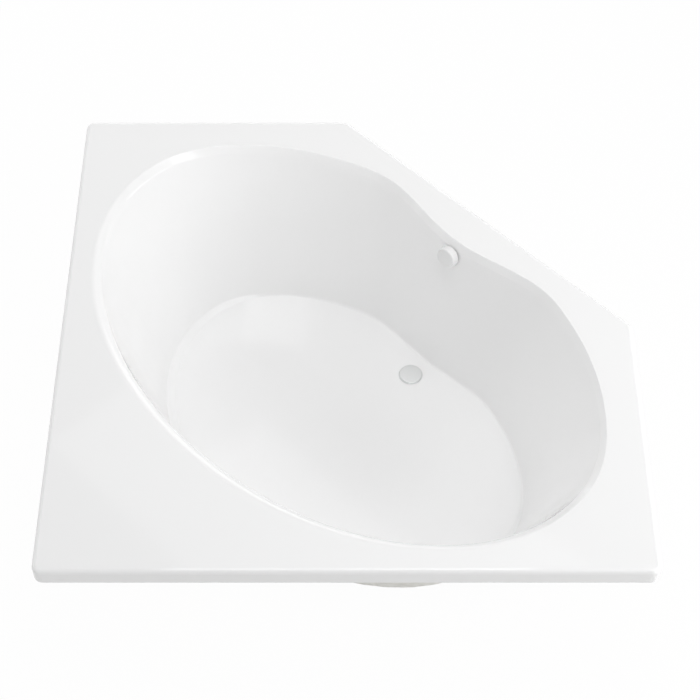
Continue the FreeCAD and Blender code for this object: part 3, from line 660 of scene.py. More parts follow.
@dataclass(frozen=True)
class BathShell:
    """Acrylic shell and the laminate under it: one section carried round the deck's edge and the bowl."""

    # The deck's corners, the lip, and the two skins.
    corner_r: float = 25.0 * MM
    angle_r: float = 50.0 * MM
    corner_steps: int = 11
    lip_height: float = 49.0 * MM
    lip_edge_r: float = 12.0 * MM
    trim_r: float = 1.5 * MM
    skin: float = 5.0 * MM
    backing: float = 4.0 * MM
    backing_inset: float = 14.0 * MM
    seat_gap: float = 0.2 * MM
    # The bowl: ledges round its rim, how far its wall runs in on the way down, and its waist at both levels.
    depth: float = 473.0 * MM
    wall_ledge: float = 81.0 * MM
    open_ledge: float = 101.0 * MM
    angled_ledge: float = 40.8 * MM
    rim_waist: float = 79.0 * MM
    rim_waist_half: float = 365.0 * MM
    back_run: float = 101.0 * MM
    front_run: float = 126.0 * MM
    side_run: float = 203.0 * MM
    floor_waist: float = 36.0 * MM
    floor_waist_half: float = 265.0 * MM
    # Its bends: crisp at the waist, and a round brim and a sloped band by the floor on the side opposite.
    rim_bend: Bend = Bend(
        (2.0, 2.0, 3.0, 8.0, 28.0, 36.0), (69.0, 67.0, 38.0, 34.0, 33.0, 33.0),
        (25.0, 25.0, 20.0, 16.0, 2.0, 2.0), (10.0, 12.0, 14.0, 20.0, 28.0, 36.0),
    )
    floor_bend: Bend = Bend(
        (4.0, 4.0, 6.0, 6.0, 6.0, 6.0), (40.0, 40.0, 30.0, 26.0, 24.0, 24.0),
        (2.0, 2.0, 16.0, 20.0, 20.0, 20.0), (5.0, 5.0, 9.0, 9.0, 9.0, 9.0),
    )
    least_r: float = 0.6 * MM
    drain_hole_r: float = 26.0 * MM
    overflow_hole_r: float = 22.0 * MM
    cut_reach: float = 36.0 * MM
    # The mesh: spacing round the deck, rows that hold a rounding off a flat, the shares of a bend's rows on
    # each arc and on its slope, and the rows up the wall and round each bend of each face.
    spacing: float = 7.6 * MM
    support: float = 1.2 * MM
    arc_share: float = 0.4
    slope_share: float = 0.2
    shown_rows: tuple[int, int] = (8, 21)
    hidden_rows: tuple[int, int] = (4, 6)
    rough_rows: tuple[int, int] = (26, 11)
    rough_deck_rows: int = 14
    rough_floor_rows: int = 24
    # Lumps of the sprayed laminate.
    lump_mm: tuple[float, float] = (18.0, 70.0)
    lump_height: float = 0.45 * MM
    lump_waves: int = 28
    lump_seed: int = 7
    # Where the CAD has the shell and the drain.
    half_side: float = field(default_factory=lambda: float(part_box("acrylic_shell")[1][0]))
    deck_z: float = field(default_factory=lambda: float(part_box("acrylic_shell")[1][2]))
    angled_x: float = field(default_factory=lambda: float(own_box("acrylic_shell")[1][0]))
    drain_x: float = field(
        default_factory=lambda: float(np.mean([corner[0] for corner in own_box("drain_flange")])))

    @property
    def floor_z(self) -> float:
        """Height of the bowl's floor."""
        return self.deck_z - self.depth

    def outline(self, turn: Array, at_floor: bool) -> Array:
        """Bowl outline at each turn, at the deck or at the floor.

        Formula: half ellipses to the back and to the front, the front one less a dip of cosine squared over
        the waist's width.

        Args:
            turn: angles round the bowl.
            at_floor: whether the floor's outline is wanted.

        Returns:
            Points, n by 2.
        """
        front = self.angled_x - self.angled_ledge
        side = math.sqrt(2.0 * (self.half_side - self.open_ledge) ** 2 - front ** 2)
        back = math.sqrt(2.0 * (self.half_side - self.wall_ledge) ** 2 - side ** 2)
        waist, half = self.rim_waist, self.rim_waist_half
        if at_floor:
            back, front, side = back - self.back_run, front - self.front_run, side - self.side_run
            waist, half = self.floor_waist, self.floor_waist_half
        y = side * np.sin(turn)
        dip = np.where(np.abs(y) < half, waist * np.cos(math.pi * y / (2.0 * half)) ** 2, 0.0)
        x = np.where(np.cos(turn) <= 0.0, back * np.cos(turn), front * np.cos(turn) - dip)
        return np.stack([x, y], axis=-1)

    def deck_edge(self) -> tuple[Array, Array]:
        """Points round the deck's edge, with its outward normals.

        Formula: at each corner an arc of the corner's radius, tangent to both sides; straight sides between
        the arcs, divided evenly.

        Returns:
            Points and normals, both n by 2.
        """
        reach = self.half_side * math.sqrt(2.0)
        front, half = self.angled_x, reach - self.angled_x
        corners = np.array([(-reach, 0.0), (0.0, -reach), (front, -half), (front, half), (0.0, reach)])
        radii = (self.corner_r, self.corner_r, self.angle_r, self.angle_r, self.corner_r)
        ahead = np.roll(corners, -1, axis=0) - corners
        lengths = np.linalg.norm(ahead, axis=1)
        sides = np.stack([ahead[:, 1], -ahead[:, 0]], axis=1) / lengths[:, None]
        points, normals, arcs = [], [], []
        for place, radius in enumerate(radii):
            first, last = sides[place - 1], sides[place]
            centre = corners[place] - radius * (first + last) / (1.0 + first @ last)
            span = math.acos(float(first @ last))
            angle = math.atan2(first[1], first[0]) + np.linspace(0.0, span, self.corner_steps)
            spokes = np.stack([np.cos(angle), np.sin(angle)], axis=1)
            arcs.append((centre + radius * spokes, spokes))
        for place, (bow, spokes) in enumerate(arcs):
            following = arcs[(place + 1) % len(arcs)][0][0]
            count = int(lengths[place] / self.spacing)
            share = (np.arange(1, count) / count)[:, None]
            points += [bow, bow[-1] + (following - bow[-1]) * share]
            normals += [spokes, np.repeat(sides[place][None], count - 1, axis=0)]
        return np.vstack(points), np.vstack(normals)

    @lru_cache(maxsize=None)
    def plan(self) -> Plan:
        """Works out the outlines at the same places round the bath.

        Formula: rays from the middle to the points of the deck's edge cut the rim's outline, and the floor's
        outline is taken at the same turns. The share of the way from the waist is a raised cosine.

        Returns:
            The outlines, worked out once.
        """
        edge, normal = self.deck_edge()
        table_steps, step = 8001, 1e-4
        table = np.linspace(-math.pi, math.pi, table_steps)
        curve = self.outline(table, False)
        bearing = np.unwrap(np.arctan2(curve[:, 1], curve[:, 0]))
        turn = np.interp(np.arctan2(edge[:, 1], edge[:, 0]), bearing, table)
        ahead = self.outline(turn + step, False) - self.outline(turn - step, False)
        outward = np.stack([ahead[:, 1], -ahead[:, 0]], axis=1)
        outward /= np.linalg.norm(outward, axis=1, keepdims=True)
        rim, floor = self.outline(turn, False), self.outline(turn, True)
        lean = ((rim - floor) * outward).sum(axis=1) / self.depth
        return Plan(edge, normal, rim, floor, outward, lean, (1.0 - np.cos(turn)) / 2.0)

    def at(self, flat: Array, z: float) -> Array:
        """Lifts plan points to a height."""
        return np.concatenate([flat, np.full((len(flat), 1), z)], axis=1)

    def wall_row(self, depth: float, grow: float) -> Array:
        """Points of the straight wall, carried on past its bends.

        Args:
            depth: how far below the deck.
            grow: how far the points are moved out, square to the wall's face.

        Returns:
            One row of points.
        """
        plan = self.plan()
        level = plan.rim + (plan.floor - plan.rim) * (depth / self.depth)
        level = level + plan.outward * (grow * np.hypot(1.0, plan.lean))[:, None]
        return self.at(level, self.deck_z - depth)

    def edge_row(self, inset: float, z: float) -> Array:
        """Points of the deck's edge moved in by inset, at a height."""
        plan = self.plan()
        return self.at(plan.edge - plan.normal * inset, z)

    def hole_row(self, ring: Array, z: float) -> Array:
        """Points of the drain hole that face a ring of floor points.

        Args:
            ring: the floor points.
            z: height of the hole's edge.

        Returns:
            One row of points.
        """
        centre = np.array([self.drain_x, 0.0])
        away = ring[:, :2] - centre
        away = away / np.linalg.norm(away, axis=1, keepdims=True)
        return self.at(centre + away * self.drain_hole_r, z)

    def bowl_rows(self, grow: float, walls: int, bends: int) -> Array:
        """Rows from the floor's flat, up the wall and over the brim to the deck's flat.

        Formula: in the upright plane square to the rim, a bend from the floor to the leaning wall, the wall's
        straight line, and a bend from the wall to the deck. Each bend ends on the wall's line, so it starts
        as far from the wall's corner as it reaches in all, less what the wall leans over its height.

        Args:
            grow: how far the surface is moved down and out from the bath's top surface.
            walls: rows on the straight of the wall.
            bends: rows on each bend.

        Returns:
            Rows by columns by 3.
        """
        plan = self.plan()
        over, rise = self.bent(self.floor_bend, grow, bends)
        out = over - over[-1] + rise[-1] * plan.lean
        foot = self.swung(self.wall_row(self.depth + grow, grow), out, rise)
        over, drop = self.bent(self.rim_bend, -grow, bends)
        out = over[-1] - drop[-1] * plan.lean - over
        brim = self.swung(self.wall_row(grow, grow), out, -drop)[::-1]
        edge = self.support / self.depth
        steps = np.concatenate([[edge], np.linspace(0.0, 1.0, walls + 2)[1:-1], [1.0 - edge]])
        return np.concatenate([foot, between(foot[-1], brim[0], steps), brim])

    def bent(self, bend: Bend, swell: float, rows: int) -> tuple[Array, Array]:
        """Section of a bend from a flat to the wall, different at each place round the bath.

        Formula: an arc from level to the slope's angle, the straight slope, and an arc on to the wall's
        steepness. An arc adds its radius times the change of the angle's sine along the flat and of its
        cosine across it.

        Args:
            bend: sizes of the bend.
            swell: what is added to both radii.
            rows: points from the flat to the wall.

        Returns:
            How far along the flat and how far across it, rows by columns.
        """
        plan = self.plan()
        share = np.linspace(0.0, 1.0, rows)[:, None]
        sizes = (bend.flat_mm, bend.degrees, bend.slope_mm, bend.wall_mm)
        first_mm, degrees, run_mm, last_mm = (np.interp(plan.far, bend.far, values) for values in sizes)
        first_r = np.maximum(first_mm * MM + swell, self.least_r)
        last_r = np.maximum(last_mm * MM + swell, self.least_r)
        tilt, steep = np.radians(degrees), math.pi / 2.0 - np.arctan(plan.lean)
        first = tilt * np.clip(share / self.arc_share, 0.0, 1.0)
        slope = run_mm * MM * np.clip((share - self.arc_share) / self.slope_share, 0.0, 1.0)
        last = tilt + (steep - tilt) * np.clip((share - (1.0 - self.arc_share)) / self.arc_share, 0.0, 1.0)
        along = first_r * np.sin(first) + slope * np.cos(tilt) + last_r * (np.sin(last) - np.sin(tilt))
        across = first_r * (1.0 - np.cos(first)) + slope * np.sin(tilt)
        return along, across + last_r * (np.cos(tilt) - np.cos(last))

    def swung(self, corner: Array, out: Array, rise: Array) -> Array:
        """Rows set off from a corner line.

        Args:
            corner: points of the line.
            out: how far each point goes out along the wall's normals, rows by columns.
            rise: how far it goes up.

        Returns:
            Rows by columns by 3.
        """
        level = corner[None, :, :2] + out[..., None] * self.plan().outward[None]
        return np.concatenate([level, (corner[None, :, 2] + rise)[..., None]], axis=-1)

    def flat_rows(self, start: Array, end: Array, middles: Sequence[float]) -> Array:
        """Rows across a flat, with one close to each end that keeps the rounding off the flat.

        Args:
            start: points where the flat starts.
            end: points where it ends.
            middles: share of the way for each row between.

        Returns:
            Rows by columns by 3, without the start and the end.
        """
        edge = (end - start) * (self.support / np.linalg.norm(end - start, axis=1))[:, None]
        return np.concatenate([(start + edge)[None], between(start, end, middles), (end - edge)[None]])

    def lip_rows(self) -> Array:
        """Rows over the deck's rounded edge, down the lip, round its trimmed edge and up inside it.

        Formula: a section of quarter arcs and straights, as insets from the deck's edge and heights.

        Returns:
            Rows by columns by 3.
        """
        low, under = self.deck_z - self.lip_height, self.deck_z - self.skin
        edge, trim, skin, inner = self.lip_edge_r, self.trim_r, self.skin, self.lip_edge_r - self.skin
        section = np.vstack([
            arc((edge, self.deck_z - edge), edge, 90.0, 180.0, 9),
            [(0.0, self.deck_z - edge - self.support), (0.0, low + trim + self.support)],
            arc((trim, low + trim), trim, 180.0, 270.0, 5),
            arc((skin - trim, low + trim), trim, 270.0, 360.0, 5),
            [(skin, low + trim + self.support), (skin, under - inner - self.support)],
            arc((skin + inner, under - inner), inner, 180.0, 90.0, 5),
        ])
        return np.stack([self.edge_row(inset, z) for inset, z in section])

    def shell_points(self) -> Array:
        """The shell's closed section carried round: top side out, lip, underside back, drain hole.

        Returns:
            Rows by columns by 3.
        """
        top = self.bowl_rows(0.0, *self.shown_rows)
        lip = self.lip_rows()
        below = self.bowl_rows(self.skin, *self.hidden_rows)[::-1]
        hole = self.hole_row(top[0], self.floor_z)
        under = self.hole_row(below[-1], self.floor_z - self.skin)
        return np.concatenate([
            hole[None], self.flat_rows(hole, top[0], (0.1, 0.3, 0.6)), top,
            self.flat_rows(top[-1], lip[0], (0.1, 0.3, 0.6, 0.9)), lip,
            self.flat_rows(lip[-1], below[0], (0.3, 0.7)), below,
            self.flat_rows(below[-1], under, (0.5,)), under[None],
        ])

    def backing_points(self) -> Array:
        """The laminate's closed section carried round, its underside raised by sprayed lumps.

        Returns:
            Rows by columns by 3.
        """
        inner, outer = self.skin + self.seat_gap, self.skin + self.backing
        top = self.bowl_rows(inner, *self.hidden_rows)
        below = self.bowl_rows(outer, *self.rough_rows)[::-1]
        over = self.edge_row(self.backing_inset, self.deck_z - inner)
        under = self.edge_row(self.backing_inset, self.deck_z - outer)
        hole_top = self.hole_row(top[0], self.floor_z - inner)
        hole_low = self.hole_row(below[-1], self.floor_z - outer)
        deck = self.flat_rows(under, below[0], np.linspace(0.0, 1.0, self.rough_deck_rows)[1:-1])
        floor = self.flat_rows(below[-1], hole_low, np.linspace(0.0, 1.0, self.rough_floor_rows)[1:-1])
        rough = np.concatenate([deck, below, floor])
        return np.concatenate([
            hole_top[None], self.flat_rows(hole_top, top[0], (0.5,)), top, over[None], under[None],
            rough + self.lumps(rough), hole_low[None],
        ])

    def lumps(self, points: Array) -> Array:
        """Offsets of the laminate's uneven face.

        Formula: a sum of sine waves of many directions and lengths, along the surface's normals.

        Args:
            points: rows by columns by 3.

        Returns:
            Offsets of the same shape.
        """
        draw = np.random.default_rng(self.lump_seed)
        heading = draw.normal(size=(self.lump_waves, 3))
        heading /= np.linalg.norm(heading, axis=1, keepdims=True)
        lengths = draw.uniform(*self.lump_mm, size=self.lump_waves) * MM
        phases = draw.uniform(0.0, 2.0 * math.pi, size=self.lump_waves)
        height = np.zeros(points.shape[:2])
        for way, length, phase in zip(heading, lengths, phases):
            height += np.sin(points @ way * (2.0 * math.pi / length) + phase)
        height *= self.lump_height / math.sqrt(self.lump_waves)
        along = np.gradient(points, axis=0)
        aside = np.roll(points, -1, axis=1) - np.roll(points, 1, axis=1)
        normal = np.cross(along, aside)
        normal /= np.maximum(np.linalg.norm(normal, axis=-1, keepdims=True), 1e-12)
        return normal * height[..., None]

    def pierced(self, piece: bpy.types.Object) -> None:
        """Cuts the overflow hole through a skin, square to the waist wall.

        Args:
            piece: the shell or its laminate.
        """
        reach, radius = self.cut_reach, self.overflow_hole_r
        profile = np.array([(0.0, -reach), (radius, -reach), (radius, reach), (0.0, reach)])
        cutter = grid_piece("overflow_cutter", (revolved(profile, *joint_line("knob_turn"), 64), Ring.ROUND))
        cut = piece.modifiers.new("overflow_hole", "BOOLEAN")
        cut.object = cutter
        cut.operation = "DIFFERENCE"
        cut.solver = "EXACT"
        graph = bpy.context.evaluated_depsgraph_get()
        made = bpy.data.meshes.new_from_object(piece.evaluated_get(graph))
        piece.modifiers.clear()
        piece.data = made
        made.set_sharp_from_angle(angle=math.radians(SHARP_DEG))
        bpy.data.objects.remove(cutter)

    def build(self) -> None:
        """Builds the shell and its laminate and sets them on the tub."""
        shell = grid_piece("acrylic_shell_formed", (turned(self.shell_points()), Ring.TORUS))
        self.pierced(shell)
        place_piece(shell, ACRYLIC, "tub", "acrylic_shell")
        laminate = grid_piece("glass_fibre_laminate", (turned(self.backing_points()), Ring.TORUS))
        self.pierced(laminate)
        place_piece(laminate, LAMINATE, "tub", "glass_fibre_backing")


@dataclass(frozen=True)
class Overflow:
    """Overflow fitting in the waist wall: the round knob and what it turns on."""

    radius: float = 30.5 * MM
    reach: float = 25.0 * MM
    standoff: float = 3.5 * MM
    face: float = 4.0 * MM
    wall: float = 3.0 * MM
    edge_r: float = 4.0 * MM
    back_r: float = 1.0 * MM
    dish: float = 0.6 * MM
    dish_share: float = 0.98
    hub_r: float = 9.0 * MM
    hub: float = 9.0 * MM
    hub_edge_r: float = 0.5 * MM
    bore_r: float = 5.0 * MM

    def knob_profile(self) -> Array:
        """Section of the cup-shaped knob from the middle of its face round to its spindle bore.

        Formula: a face dished by a cosine, a rounded edge, the side, the open back and the hub inside.

        Returns:
            Radius and height, n by 2.
        """
        share = np.linspace(0.0, 1.0, 10)[:-1]
        flat, cup = self.radius - self.edge_r, self.radius - self.wall
        inside = self.reach - self.face
        dished = np.stack([flat * share, self.reach - self.dish * np.cos(share * math.pi / 2.0)], axis=1)
        outer = rounded([
            (flat * self.dish_share, self.reach, 0.0), (self.radius, self.reach, self.edge_r),
            (self.radius, self.standoff, self.back_r), (cup, self.standoff, self.back_r),
            (cup, inside, self.back_r), (self.hub_r, inside, self.back_r),
            (self.hub_r, inside - self.hub, self.hub_edge_r), (self.bore_r, inside - self.hub, 0.0),
            (self.bore_r, inside, 0.0), (0.0, inside, 0.0),
        ], 8)
        return np.vstack([dished, outer])

    def build(self) -> None:
        """Builds the knob and dresses the fitting."""
        points = revolved(self.knob_profile(), *joint_line("knob_turn"))
        knob = grid_piece("overflow_knob_moulded", (points, Ring.ROUND))
        place_piece(knob, KNOB_PLASTIC, "knob", "overflow_knob")
        dress_nodes(BRASS, "knob_spindle")
        dress_nodes(PIPE_PLASTIC, "overflow_flange", "overflow_elbow")
        dress_nodes(STEEL, "overflow_screws")
        dress_nodes(RUBBER, "overflow_gasket")


@dataclass(frozen=True)
class PopUpWaste:
    """Drain in the floor: flange, plug, seal, lift pin and the shoe below."""

    crown: float = 0.4 * MM
    crown_share: float = 1.1
    edge_r: float = 1.5 * MM
    under_r: float = 0.4 * MM
    seat_gap: float = 0.5 * MM
    hub_r: float = 16.0 * MM
    lip_r: float = 19.0 * MM

    def plug_points(self) -> Array:
        """Plug cap turned from its section.

        Formula: a top crowned by the square of the radius, a rounded edge, a hub and the seal's lip.

        Returns:
            Rows by columns by 3.
        """
        low, high = rest_box("plug_cap")
        groove = rest_box("plug_seal")[0][2]
        seat = rest_box("drain_flange")[1][2] + self.seat_gap
        radius, base, top = (high - low)[0] / 2.0, low[2], high[2]
        flat = radius - self.edge_r
        share = np.linspace(0.0, 1.0, 12)[:-1]
        crowned = np.stack([flat * share, top - self.crown * share ** 2], axis=1)
        outer = rounded([
            (flat, top - self.crown, 0.0), (radius, top - self.crown * self.crown_share, self.edge_r),
            (radius, seat, self.under_r), (self.hub_r, seat, 0.0), (self.hub_r, groove, 0.0),
            (self.lip_r, groove, 0.0), (self.lip_r, base, 0.0), (0.0, base, 0.0),
        ], 8)
        return revolved(np.vstack([crowned, outer]), lifted((low + high) / 2.0, 0.0), UP)

    def build(self) -> None:
        """Builds the plug cap and dresses the rest of the drain."""
        cap = grid_piece("plug_cap_turned", (self.plug_points(), Ring.ROUND))
        place_piece(cap, SATIN, "plug", "plug_cap")
        dress_nodes(SATIN, "drain_flange")
        dress_nodes(RUBBER, "plug_seal", "drain_gasket")
        dress_nodes(BRASS, "plug_stem", "lift_pin")
        dress_nodes(PIPE_PLASTIC, "drain_shoe")


@dataclass(frozen=True)
class WastePipes:
    """Tee, pipes, slip nuts and the control cable below the bath.

    Each nut is listed with the way its front faces, in the bath's own frame.
    """

    nut_r: float = 26.4 * MM
    lug: float = 1.1 * MM
    lugs: int = 10
    hollow_r: float = 23.2 * MM
    bore_r: float = 19.25 * MM
    front: float = 4.0 * MM
    edge: float = 1.0 * MM
    sharp_deg: float = 35.0
    steps: int = 160
    nuts: tuple[tuple[str, tuple[float, float, float]], ...] = (
        ("slip_nut_shoe", (1.0, 0.0, 0.0)), ("slip_nut_tee_inlet", (-1.0, 0.0, 0.0)),
        ("slip_nut_tee_top", (0.0, 0.0, 1.0)), ("slip_nut_tail", (0.0, 0.0, -1.0)),
        ("slip_nut_overflow", (0.0, 0.0, -1.0)),
    )

    def nut_rows(self, length: float) -> Array:
        """Section of a slip nut at each turn: a lugged outside, a narrow front bore and a wide hollow.

        Formula: outside radius = plain radius + lug height times the fourth power of the cosine of the turn
        times the count of lugs, where that cosine is positive. Each row has its own share of the lugs: all of
        them on the side, less on its rounded edges and none inside the nut.

        Args:
            length: the nut's length along its axis.

        Returns:
            Radius and height, rows by steps by 2.
        """
        shoulder, third = length - self.front, self.edge / 3
        rows = np.array([
            (self.hollow_r, 0.0, 0.0), (self.nut_r - self.edge, 0.0, 0.4), (self.nut_r - third, third, 0.8),
            (self.nut_r, self.edge, 1.0), (self.nut_r, length - self.edge, 1.0),
            (self.nut_r - third, length - third, 0.8), (self.nut_r - self.edge, length, 0.4),
            (self.bore_r, length, 0.0), (self.bore_r, shoulder, 0.0), (self.hollow_r, shoulder, 0.0),
        ])
        bump = np.maximum(np.cos(self.lugs * all_round(self.steps)), 0.0) ** 4
        return sized(rows[:, :1] + self.lug * rows[:, 2:] * bump[None], rows[:, 1])

    def nut(self, name: str, way: Array) -> None:
        """Builds a lugged slip nut in the place of a CAD node.

        Args:
            name: the CAD node.
            way: the way its front faces, in the bath's own frame.
        """
        low, high = own_box(name)
        start = np.where(way > 0.0, low, np.where(way < 0.0, high, (low + high) / 2.0))
        length = float(np.abs((high - low) @ way))
        points = revolved(self.nut_rows(length), turned(start), turned(way))
        piece = grid_piece(name + "_lugged", (points, Ring.TORUS), sharp_deg=self.sharp_deg)
        place_piece(piece, NUT_PLASTIC, "tub", name)

    def build(self) -> None:
        """Builds the slip nuts and dresses the pipework."""
        for name, way in self.nuts:
            self.nut(name, np.array(way))
        dress_nodes(PIPE_PLASTIC, "waste_tee", "waste_pipe", "overflow_pipe", "tail_pipe")
        dress_nodes(NUT_PLASTIC, "cable_clips")
        dress_nodes(RUBBER, "slip_washers")
        dress_nodes(SHEATH, "cable_sheath")


@dataclass(frozen=True)
class Underframe:
    """Battens, base board and leg rails below the shell."""

    arris: float = 1.8 * MM
    batten_sharp_deg: float = 50.0
    battens: tuple[tuple[str, Grain], ...] = (
        ("rim_batten_front", Grain.ALONG_X), ("rim_batten_back", Grain.ALONG_X),
        ("rim_batten_left", Grain.ALONG_Y), ("rim_batten_right", Grain.ALONG_Y),
        ("rim_batten_angled", Grain.ALONG_ANGLED_SIDE),
    )
    wall: float = 2.5 * MM
    web: float = 50.0 * MM
    bend_r: float = 4.0 * MM
    screw_head_r: float = 4.2 * MM
    screw_head: float = 2.4 * MM
    screw_ease: float = 0.6
    screw_end: float = 30.0 * MM
    screw_steps: int = 64
    recess: float = 1.1 * MM
    recess_width: float = 0.9 * MM

    def bar_points(self, low: Array, high: Array) -> Array:
        """Box with every edge rounded, as rings along its length.

        Formula: at each end the ring is the box's section less the radius, swelled by an arc's sine while it
        moves along by one less the arc's cosine; its corners are arcs of the swelled radius.

        Args:
            low: the box's low corner.
            high: its high corner.

        Returns:
            Rings by points by 3.
        """
        centre, half = (low + high) / 2.0, (high - low) / 2.0 - self.arris
        starts = (0.0, 90.0, 180.0, 270.0)
        bows = np.vstack([arc((0.0, 0.0), 1.0, start, start + 90.0, 4) for start in starts])
        corner = np.repeat([(1, 1), (-1, 1), (-1, -1), (1, -1)], 4, axis=0) * half[1:]
        turn = np.linspace(0.0, math.pi / 2.0, 5)
        swell = np.concatenate([np.sin(turn), np.sin(turn)[::-1]]) * self.arris
        reach = half[0] + self.arris * np.cos(turn)
        along = np.concatenate([-reach, reach[::-1]])
        section = corner[None] + swell[:, None, None] * bows[None]
        along = np.broadcast_to(along[:, None, None], (*section.shape[:2], 1))
        rings = np.concatenate([along, section], axis=-1)
        caps = rings[[0, -1]] * np.array([1.0, 0.0, 0.0])
        return centre + np.concatenate([caps[:1], rings, caps[1:]])

    def batten(self, name: str, grain: Grain) -> None:
        """Builds a sawn batten with eased edges in the place of a CAD node.

        Args:
            name: the CAD node.
            grain: which way it lies.
        """
        angle = math.radians(grain.value)
        points = turned(self.bar_points(*own_box(name, angle)), angle)
        piece = grid_piece(name + "_sawn", (points, Ring.ROUND), sharp_deg=self.batten_sharp_deg)
        pine = SawnPine("pine_sawn_" + grain.name.lower(), "#d2ad72", 0.75, grain=grain)
        place_piece(piece, pine, "tub", name)

    def rail_points(self, low: Array, high: Array) -> Array:
        """Folded sheet of a hat section.

        Formula: a path through the section's corners, each bent by an arc; the sheet's two faces lie half its
        thickness to each side along the path's normals, and its edges are rounded.

        Args:
            low: low corner of the rail's box in the bath's own frame.
            high: its high corner.

        Returns:
            Path points by points round the sheet by 3.
        """
        middle, edge = (low[0] + high[0]) / 2.0, (high[0] - low[0]) / 2.0
        side = (self.web - self.wall) / 2.0
        top, base = high[2] - self.wall / 2.0, low[2] + self.wall / 2.0
        path = rounded([
            (-edge, top, 0.0), (-side, top, self.bend_r), (-side, base, self.bend_r),
            (side, base, self.bend_r), (side, top, self.bend_r), (edge, top, 0.0),
        ], 7)
        ahead = np.gradient(path, axis=0)
        normal = np.stack([ahead[:, 1], -ahead[:, 0]], axis=1) / np.linalg.norm(ahead, axis=1, keepdims=True)
        ease = self.wall / 4.0
        near, far = low[1], high[1]
        loop = np.array([
            (1.0, near + ease), (1.0, far - ease), (0.5, far), (-0.5, far),
            (-1.0, far - ease), (-1.0, near + ease), (-0.5, near), (0.5, near),
        ])
        share = np.ones(len(path))
        share[[0, -1]] = 0.5
        offset = normal[:, None, :] * (loop[None, :, :1] * share[:, None, None] * self.wall / 2.0)
        flat = path[:, None, :] + offset
        along = np.broadcast_to(loop[None, :, 1:], (*flat.shape[:2], 1))
        sheet = np.concatenate([flat[..., :1] + middle, along, flat[..., 1:]], axis=-1)
        caps = sheet[[0, -1]].copy()
        caps[..., 2] = top
        return np.concatenate([caps[:1], sheet, caps[1:]])

    def screw_points(self, spot: Array) -> Array:
        """Head of a pan-head screw with a cross recess, seen from below.

        Formula: a quarter-round edge and a flat face; inside half the radius the face is sunk where either
        axis of the cross is nearer than the recess's half width.

        Args:
            spot: point on the flange where the screw goes up.

        Returns:
            Rows by steps by 3.
        """
        ease = self.screw_head * self.screw_ease
        flat = self.screw_head_r - ease
        edge = arc((flat, self.screw_head - ease), ease, 0.0, 90.0, 6)
        inner = np.linspace(flat, 0.0, 14)[1:]
        face = np.stack([inner, np.full_like(inner, self.screw_head)], axis=1)
        rows = np.vstack([[(0.0, 0.0), (self.screw_head_r, 0.0)], edge, face])
        angle = all_round(self.screw_steps)
        sizes = np.repeat(rows[:, None, :], self.screw_steps, axis=1)
        x, y = sizes[..., 0] * np.cos(angle), sizes[..., 0] * np.sin(angle)
        cross = np.minimum(np.abs(x), np.abs(y)) < self.recess_width / 2.0
        on_face = np.arange(len(rows))[:, None] >= len(rows) - len(face)
        sunk = cross & on_face & (sizes[..., 0] < self.screw_head_r / 2.0)
        sizes[..., 1] -= np.where(sunk, self.recess, 0.0)
        return revolved(sizes, spot, -UP)

    def rail(self, name: str) -> list[Array]:
        """Builds a folded rail in the place of a CAD node.

        Args:
            name: the CAD node.

        Returns:
            Grids of its screws' heads.
        """
        low, high = own_box(name)
        piece = grid_piece(name + "_folded", (turned(self.rail_points(low, high)), Ring.ROUND))
        place_piece(piece, STEEL, "tub", name)
        reach = ((high[0] - low[0]) / 2.0 + self.web / 2.0) / 2.0
        middle = (low[0] + high[0]) / 2.0
        rows = np.linspace(low[1] + self.screw_end, high[1] - self.screw_end, 3)
        spots = [(middle + side * reach, y, high[2] - self.wall) for y in rows for side in (-1.0, 1.0)]
        return [self.screw_points(turned(np.array(spot))) for spot in spots]

    def build(self) -> None:
        """Builds the battens and rails and dresses the board."""
        for name, grain in self.battens:
            self.batten(name, grain)
        dress_nodes(CHIPBOARD, "base_board")
        heads = self.rail("leg_rail_rear") + self.rail("leg_rail_front")
        screws = grid_piece("rail_screw_heads", *((points, Ring.ROUND) for points in heads))
        place_piece(screws, STEEL, "tub", "rail_screws")


